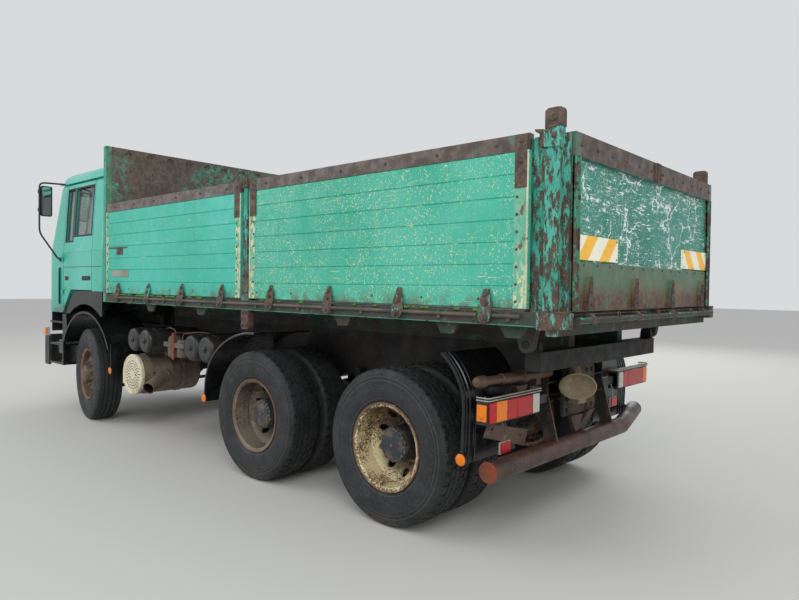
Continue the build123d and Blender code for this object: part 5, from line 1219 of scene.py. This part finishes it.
def add_guard_ribs():
    """Ribs along the rear mudguards, a strip rubbed bare, and the rubber flaps under the front ones."""
    flaps, ribs, worn = Shape(front_x), Shape(), Shape()
    flaps.prism(((-0.684, 0.95), (-0.690, 0.95), (-0.693, 0.72), (-0.70, 0.60), (-0.692, 0.60), (-0.686, 0.72)),
                "y", 0.73, 1.195)
    for y in (0.78, 0.9, 1.02, 1.14):
        flaps.prism(((-0.689, 0.9), (-0.694, 0.89), (-0.697, 0.72), (-0.703, 0.62), (-0.698, 0.61),
                     (-0.691, 0.72)), "y", y - 0.006, y + 0.006)
    flaps.piece("front_guard_flaps", "chassis", "guard", "guard_plastic", bevel=0.001, both=True)
    for row in guard_rows:
        for y, half, lift in rib_rows:
            rings = []
            for spot, normal in guard_line(*row):
                low, high = spot + 0.004 * normal, spot + lift * normal
                rings.append([(low.x, y - half, low.y), (high.x, y - 0.6 * half, high.y),
                              (high.x, y + 0.6 * half, high.y), (low.x, y + half, low.y)])
            ribs.loft(rings)
    ribs.piece("guard_ribs", "chassis", "guard", "guard_plastic", smooth=50, both=True)
    rings = []
    for spot, normal in guard_line(*guard_rows[1]):
        if 0.93 < spot.y < 1.11:
            low, high = spot + 0.0035 * normal, spot + 0.0062 * normal
            rings.append([(low.x, 1.199, low.y), (high.x, 1.199, high.y), (high.x, 1.176, high.y),
                          (low.x, 1.176, low.y)])
    worn.loft(rings)
    worn.piece("guard_bare_strip", "chassis", "cap", "guard_plastic")


def add_bar_end():
    """The cap with a rolled edge in the underrun tube's left end."""
    shape = Shape(rear_x - 0.86)
    shape.lathe((0, 1.212, 0.545), Y_AXIS,
                ((0, 0.0635), (0.0105, 0.0635), (0.0115, 0.058), (0.0095, 0.054), (0.0095, 0)), 40)
    shape.piece("bar_end", "chassis", "rust_orange", "rusty_brown")


# Cab trim, with x from a line that all its stations are measured from

cab_datum = rear_x + 2.42
cab_face = 1.22
belt, eaves = 1.985, 2.79
cab_lean = 0.05


def cab_side_y(height):
    """Outer face of the cab's side at a height: upright to the belt, leaning in above it."""
    return cab_face - cab_lean * max(height - belt, 0) / (eaves - belt)


def side_strip(width, depth, *lines):
    """Mouldings that follow lines of points (x, z) on the cab's left side."""
    shape = Shape(cab_datum)
    section = ((-1, -0.004), (1, -0.004), (1, 0.6 * depth), (0.6, depth), (-0.6, depth), (-1, 0.6 * depth))
    for (x0, z0), (x1, z1) in [ends for line in lines for ends in zip(line, line[1:])]:
        along = Vector((x1 - x0, 0, z1 - z0)).normalized()
        across = Vector((-along.z, 0, along.x)) * width / 2
        rings = []
        for x, z, into in ((x0, z0, -1), (x1, z1, 1)):
            spot = Vector((x, 0, z)) + 0.45 * into * width * along
            corners = [(spot + share * across, out) for share, out in section]
            rings.append([(corner.x, cab_side_y(corner.z) + out, corner.z) for corner, out in corners])
        shape.loft(rings)
    return shape


def add_door_trim():
    """Window rubbers, handle, lock plate and mouldings on each door."""
    panes = [((rear, low), (rear, high), (front, high), (front, low), (rear, low))
             for rear, front, low, high in ((2.236, 2.722, 2.178, 2.755), (2.762, 2.972, 2.118, 2.755))]
    side_strip(0.02, 0.005, *panes).pair("window_rubber_{}", "door_{}", "seal", "cab_green")
    handle = Shape(cab_datum)
    outline = ((2.25, 1.650), (2.46, 1.650), (2.47, 1.662), (2.46, 1.700), (2.25, 1.700), (2.24, 1.688))
    handle.prism(outline, "y", 1.217, 1.226)
    handle.box((2.268, 1.224, 1.664), (2.40, 1.238, 1.688))
    handle.lathe((2.435, 1.224, 1.676), Y_AXIS, ((0, 0.013), (0.008, 0.013), (0.010, 0.010), (0.010, 0)), 18)
    handle.box((2.87, 1.217, 1.648), (2.965, 1.225, 1.698))
    handle.box((2.915, 1.223, 1.655), (2.921, 1.228, 1.691))
    handle.pair("door_handle_{}", "door_{}", "grille", "cab_green", bevel=0.002)
    crease = side_strip(0.012, 0.004, ((2.215, 1.994), (3.015, 1.994)))
    crease.pair("door_crease_{}", "door_{}", "cab_green", "cab_green")
    line = side_strip(0.007, 0.0014, ((2.212, 1.808), (3.018, 1.808)))
    line.pair("door_line_{}", "door_{}", "seal", "cab_green")


def add_cab_trim():
    """Roof gutter, belt lines behind the doors, grab bars and indicators."""
    gutter, grab, indicator = (Shape(cab_datum) for _ in range(3))
    gutter.loft([[(x, inner, 2.826), (x, outer, 2.826), (x, outer, 2.838), (x, inner, 2.846)]
                 for x, inner, outer in ((1.93, 1.168, 1.187), (3.22, 1.164, 1.183))])
    gutter.pair("gutter_{}", "cab", "cab_green", "cab_green", bevel=0.002)
    crease = side_strip(0.012, 0.004, ((1.955, 1.994), (2.18, 1.994)))
    crease.pair("cab_crease_{}", "cab", "cab_green", "cab_green")
    line = side_strip(0.007, 0.0014, ((1.955, 1.808), (2.182, 1.808)))
    line.pair("cab_line_{}", "cab", "seal", "cab_green")
    x, low, high = 3.125, 1.36, 1.80
    grab.tube(((x, 1.19, high), (x, 1.23, high), (x, 1.23, low), (x, 1.19, low)), 0.011, 12, bend=0.04)
    for height in (high, low):
        grab.lathe((x, 1.2, height), Y_AXIS, ((-0.02, 0.024), (0.004, 0.022), (0.008, 0.012)), 16)
    grab.pair("grab_bar_{}", "cab", "grille", "grille_black")
    indicator.box((3.60, 1.198, 0.94), (3.664, 1.214, 1.036))
    indicator.pair("side_indicator_{}", "chassis", "amber_lens", "head_lens", bevel=0.006)


# A mirror head's sides, and the points (y, z) that its back and its glass shrink towards
mirror_inner, mirror_outer, mirror_low, mirror_high = 1.321, 1.449, 2.425, 2.792
mirror_centre = (1.385, 2.61)
mirror_corner = 0.02
arm_y = 1.461


def shrunk(points, across, up):
    """Points (y, z) moved towards the mirror's centre by a share across and a share up."""
    centre_y, centre_z = mirror_centre
    return [(y + across * (centre_y - y), z + up * (centre_z - z)) for y, z in points]


def add_mirrors():
    """Mirror heads with their glass and ribs, on an arm with clamps."""
    mirror, pane, ribs = (Shape(cab_datum) for _ in range(3))
    head = []
    left, right = mirror_outer - mirror_corner, mirror_inner + mirror_corner
    low, high = mirror_low + mirror_corner, mirror_high - mirror_corner
    for y, z, start in ((left, high, 0), (right, high, 90), (right, low, 180), (left, low, 270)):
        turns = [radians(start + turn) for turn in (0, 30, 60, 90)]
        head += [(y + mirror_corner * cos(turn), z + mirror_corner * sin(turn)) for turn in turns]
    mirror.prism(head, "x", 3.102, 3.14)
    mirror.prism(shrunk(head, 0.3, 0.25), "x", 3.13, 3.156)
    for height in (2.50, 2.72):
        mirror.box((3.115, 1.43, height - 0.016), (3.138, 1.468, height + 0.016))
        mirror.lathe((3.128, arm_y, height - 0.02), Z_AXIS, ((0, 0.018), (0.04, 0.018)), 16)
    mirror.tube(((3.085, 1.20, 1.906), (3.087, 1.262, 1.915), (3.128, arm_y - 0.002, 2.225),
                 (3.128, arm_y, 2.83), (3.07, 1.14, 2.835)), 0.0105, 12, bend=0.06)
    mirror.lathe((3.085, 1.206, 1.905), Y_AXIS,
                 ((0, 0.036), (0.012, 0.034), (0.026, 0.024), (0.04, 0.018), (0.04, 0)), 20)
    arms = mirror.pair("mirror_arm_{}", "cab", "mirror", "mirror_black", bevel=0.002, smooth=40)
    for made, (side_name, _) in zip(arms, SIDES):
        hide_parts(f"mirror_{side_name}")
    pane.prism(shrunk(head, 0.26, 0.075), "x", 3.099, 3.104)
    pane.pair("mirror_glass_{}", "cab", "mirror_glass", "mirror_black", bevel=0.001)
    for height in (2.47, 2.54, 2.61, 2.68, 2.75):
        ribs.box((3.152, 1.35, height), (3.16, 1.42, height + 0.01))
    ribs.pair("mirror_ribs_{}", "cab", "mirror", "mirror_black", bevel=0.002)


# Columns: height, distance of the front edge behind the cab's nose, half width, front corner radius
roof_rows = (
    (2.838, 0.285, 1.166, 0.27), (2.89, 0.31, 1.158, 0.26), (2.93, 0.35, 1.135, 0.25),
    (2.965, 0.42, 1.075, 0.24), (2.988, 0.52, 0.97, 0.22), (3.0, 0.66, 0.80, 0.20),
)
roof_back_corner = 0.05


def add_roof():
    """The crowned roof skin above the gutters."""
    low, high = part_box("cab_shell")
    shape = Shape()
    rings = []
    for height, back, half, corner in roof_rows:
        front = high[0] - back - corner
        rear = low[0] + 0.004 + 0.25 * max(height - 2.93, 0) + roof_back_corner
        ring = []
        for x, y, start, radius in ((front, half - corner, 0, corner),
                                    (rear, half - roof_back_corner, 90, roof_back_corner),
                                    (rear, roof_back_corner - half, 180, roof_back_corner),
                                    (front, corner - half, 270, corner)):
            turns = [radians(start + 15 * k) for k in range(7)]
            ring += [(x + radius * cos(turn), y + radius * sin(turn), height) for turn in turns]
        rings.append(ring)
    shape.loft(rings)
    shape.piece("roof_skin", "cab", "cab_green", "cab_green", smooth=62)


# Under the bed

def add_silencer():
    """The silencer's drum with its dished cap, its holes painted as shade by near-black discs, bands, bracket
    and the open slanted tailpipe.
    """
    x, z = 3.79, 0.64
    centre = Vector((x, 1.13, z))
    drum, cap, painted_hole_shade, bands, soot = (Shape(rear_x) for _ in range(5))
    drum.lathe((x, 0.43, z), Y_AXIS,
               ((0, 0), (0, 0.19), (0.012, 0.207), (0.03, 0.2125), (0.34, 0.2125), (0.345, 0.2155),
                (0.352, 0.2155), (0.357, 0.2125), (0.69, 0.2125), (0.69, 0)), 56)
    drum.box((x - 0.03, 0.43, z), (x + 0.03, 0.51, z + 0.26))
    for along in (-0.10, 0.06):
        pipe_x = x + along
        drum.tube(((pipe_x, 0.43, z + 0.1), (pipe_x, 0.36, z + 0.14), (pipe_x - 0.1, 0.33, z + 0.3)), 0.03, 14)
    made = drum.piece("silencer_drum", "chassis", "silencer", "silencer_steel", bevel=0.0008)
    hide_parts("exhaust")
    cap.lathe(centre, Y_AXIS,
              ((-0.03, 0.2185), (0, 0.2185), (0.006, 0.213), (0.008, 0.2), (0.002, 0.196), (0.002, 0)), 48)
    cap.piece("silencer_cap", "chassis", "cap", "silencer_steel")
    # Painted shade: near-black discs on the closed cap stand in for the dark inside of its holes
    for radius, count in ((0.06, 12), (0.09, 18), (0.12, 24), (0.15, 30)):
        shift = 0.5 if radius > 0.1 else 0
        for spot in circle(centre + 0.0015 * Y_AXIS, X_AXIS, Z_AXIS, count, radius, shift=shift):
            painted_hole_shade.lathe(spot, Y_AXIS, ((0, 0.008), (0.0015, 0.008), (0.002, 0.005), (0.002, 0)), 8)
    painted_hole_shade.piece("silencer_holes", "chassis", "seal", "silencer_steel")
    for y in (0.98, 0.62):
        bands.band((x, y, z), Y_AXIS, 0.035, 0.211, 0.2195, 48)
        bands.bolt((x - 0.14, y + 0.0175, z + 0.165), (-0.6, 0, 0.8), 0.012)
    start, mouth = Vector((3.60, 0.84, 0.645)), Vector((3.445, 1.125, 0.53))
    way = mouth - start
    reach = way.length
    pipe = ((0, 0.05), (0, 0.064), (reach, 0.064), (reach, 0.058), (0.12, 0.058), (0.12, 0.05))
    bands.lathe(start, way, pipe, 32, loop=True)
    bands.band(start + 0.02 * way.normalized(), way, 0.025, 0.062, 0.072, 32)
    bands.piece("silencer_bands", "chassis", "silencer", "silencer_steel", bevel=0.0008)
    soot.lathe(start, way,
               ((0.1, 0), (0.1, 0.0585), (reach - 0.006, 0.0585), (reach - 0.006, 0.056), (0.14, 0.054),
                (0.14, 0)), 28)
    soot.piece("tailpipe_soot", "chassis", "seal", "silencer_steel")


def add_tank_trim():
    """Straps round the air tanks, drain valves, short pipes and the dryer between them."""
    straps, pipes, dryer, dryer_strap = (Shape(rear_x) for _ in range(4))
    for x, z in ((3.757, 1.022), (3.5, 1.022), (2.589, 1.018), (2.334, 1.018)):
        for y in (1.02, 0.68):
            straps.band((x, y, z), Y_AXIS, 0.03, 0.1245, 0.1285, 40)
        straps.lathe((x, 1.149, z), Y_AXIS, ((0, 0.028), (0.008, 0.028), (0.012, 0.02), (0.012, 0)), 16)
        pipes.bolt((x, 1.16, z), Y_AXIS, 0.013)
        pipes.lathe((x, 0.9, z - 0.122), -Z_AXIS,
                    ((0, 0.014), (0.03, 0.014), (0.035, 0.008), (0.05, 0.008)), 12)
    straps.piece("tank_straps", "chassis", "tank", "tank_black", bevel=0.0008)
    dryer.lathe((3.16, 0.98, 0.87), Z_AXIS,
                ((0, 0), (0, 0.06), (0.02, 0.075), (0.15, 0.078), (0.17, 0.07), (0.2, 0.068), (0.22, 0.05),
                 (0.225, 0)), 28)
    dryer.lathe((2.98, 1.0, 0.88), Z_AXIS,
                ((0, 0), (0, 0.045), (0.015, 0.055), (0.16, 0.055), (0.18, 0.04), (0.18, 0)), 24)
    dryer.box((2.9, 0.42, 0.93), (3.24, 0.93, 0.99))
    dryer.box((2.86, 0.80, 0.98), (3.26, 1.06, 1.03))
    dryer.piece("air_dryer", "chassis", "casting", "tank_black", bevel=0.003)
    dryer_strap.box((3.045, 1.058, 0.86), (3.09, 1.064, 1.13))
    dryer_strap.box((3.045, 0.80, 1.124), (3.09, 1.064, 1.13))
    dryer_strap.piece("dryer_strap", "chassis", "rust_orange", "rusty_brown", bevel=0.001)
    # Columns: radius, points
    for radius, points in (
        (0.007, ((3.16, 0.98, 1.09), (3.16, 0.98, 1.15), (3.28, 0.98, 1.17), (3.5, 0.9, 1.14))),
        (0.007, ((2.98, 1.0, 1.05), (2.98, 1.0, 1.12), (2.75, 0.95, 1.15), (2.6, 0.9, 1.138))),
        (0.006, ((3.5, 0.75, 0.905), (3.5, 0.75, 0.86), (3.1, 0.72, 0.85), (2.6, 0.75, 0.86),
                 (2.6, 0.75, 0.9))),
    ):
        pipes.tube(points, radius, 10, bend=0.04)
    pipes.piece("air_pipes", "chassis", "pipe", "tank_black")


def add_brakes():
    """Brake chambers with their clamp bands and push rods on the drive axles."""
    shape = Shape()
    for wheel_x in (middle_x, rear_x):
        origin = Vector((wheel_x - 0.21, 0.33, 0.70))
        shape.lathe(origin, (0.15, 1, -0.1),
                    ((0, 0), (0, 0.05), (0.012, 0.078), (0.07, 0.08), (0.075, 0.088), (0.095, 0.088),
                     (0.1, 0.08), (0.15, 0.078), (0.175, 0.04), (0.175, 0.012), (0.23, 0.012), (0.23, 0)), 26)
        shape.rod(origin - 0.02 * Z_AXIS, (wheel_x - 0.04, 0.36, 0.58), 0.02)
    shape.piece("brake_chambers", "chassis", "casting", "axle_grime", both=True)


coupling_z = 0.9
# Columns: distance along the funnel, half width and half height, outside and then back along the inside
funnel_rows = ((0, 0.052, 0.048), (0.03, 0.062, 0.054), (0.075, 0.105, 0.078), (0.118, 0.128, 0.093),
               (0.122, 0.128, 0.093), (0.124, 0.122, 0.088), (0.08, 0.098, 0.072), (0.035, 0.052, 0.046))


def add_coupling():
    """The drawbar coupling: cross plate, pin housing and the wide funnel that is swung to the left."""
    plate, body, funnel = (Shape(rear_x - 0.81) for _ in range(3))
    z = coupling_z
    plate.prism(((-0.24, z - 0.17), (0.24, z - 0.17), (0.24, z + 0.15), (0.2, z + 0.19), (-0.2, z + 0.19),
                 (-0.24, z + 0.15)), "x", -0.012, 0.012)
    for y in (-0.19, -0.11, 0.19):
        for height in (z - 0.13, z - 0.05, z + 0.05, z + 0.13):
            plate.bolt((-0.012, y, height), BACK, 0.014)
    plate.prism(((0.02, z - 0.17), (0.2, z - 0.17), (0.13, 0.62), (0.07, 0.62)), "x", -0.05, -0.02)
    plate.prism(((-0.2, z - 0.16), (-0.1, z - 0.16), (0.06, 0.63), (0.0, 0.60)), "x", -0.04, -0.018)
    made = plate.piece("coupling_plate", "chassis", "axle", "coupling_iron", bevel=0.002)
    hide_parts("tow_coupling")
    body.lathe((0, 0.09, z + 0.05), (-0.55, 0.75, 0),
               ((0, 0), (0, 0.06), (0.05, 0.075), (0.11, 0.075), (0.13, 0.06), (0.13, 0)), 28)
    body.lathe((-0.055, 0.165, z + 0.09), Z_AXIS,
               ((0, 0.045), (0.06, 0.045), (0.07, 0.038), (0.12, 0.038), (0.13, 0.026), (0.16, 0.026),
                (0.16, 0)), 24)
    body.tube(((-0.055, 0.165, z + 0.23), (-0.055, 0.2, z + 0.25), (-0.06, 0.32, z + 0.22)), 0.008, bend=0.03)
    body.box((-0.09, 0.05, z - 0.08), (0, 0.17, z + 0.02))
    body.piece("coupling_body", "chassis", "coupling", "coupling_iron", bevel=0.0015)
    out = Vector((-0.55, 0.78, -0.12)).normalized()
    across = out.cross(Z_AXIS).normalized()
    up = across.cross(out)
    origin = Vector((-0.06, 0.165, z + 0.075))
    rings = [circle(origin + along * out, across, up, 36, wide, high) for along, wide, high in funnel_rows]
    funnel.loft(rings + [[origin + 0.03 * out]])
    funnel.piece("coupling_funnel", "chassis", "lining", "coupling_iron", smooth=50)


bpy.context.scene.view_settings.view_transform = "Standard"
add_camera()
add_stage()
looks = paint_all()
for add_part in (
    add_tyres, add_wheel_trim, add_flap_trim, add_hinge_straps, add_flap_plate, add_gate_trim, add_sill,
    add_bed_trim, add_moss, add_tarp_hooks, add_tail_lamps, add_tail_plates, add_guard_ribs, add_bar_end,
    add_door_trim, add_cab_trim, add_mirrors, add_roof, add_silencer, add_tank_trim, add_brakes, add_coupling,
):
    add_part()
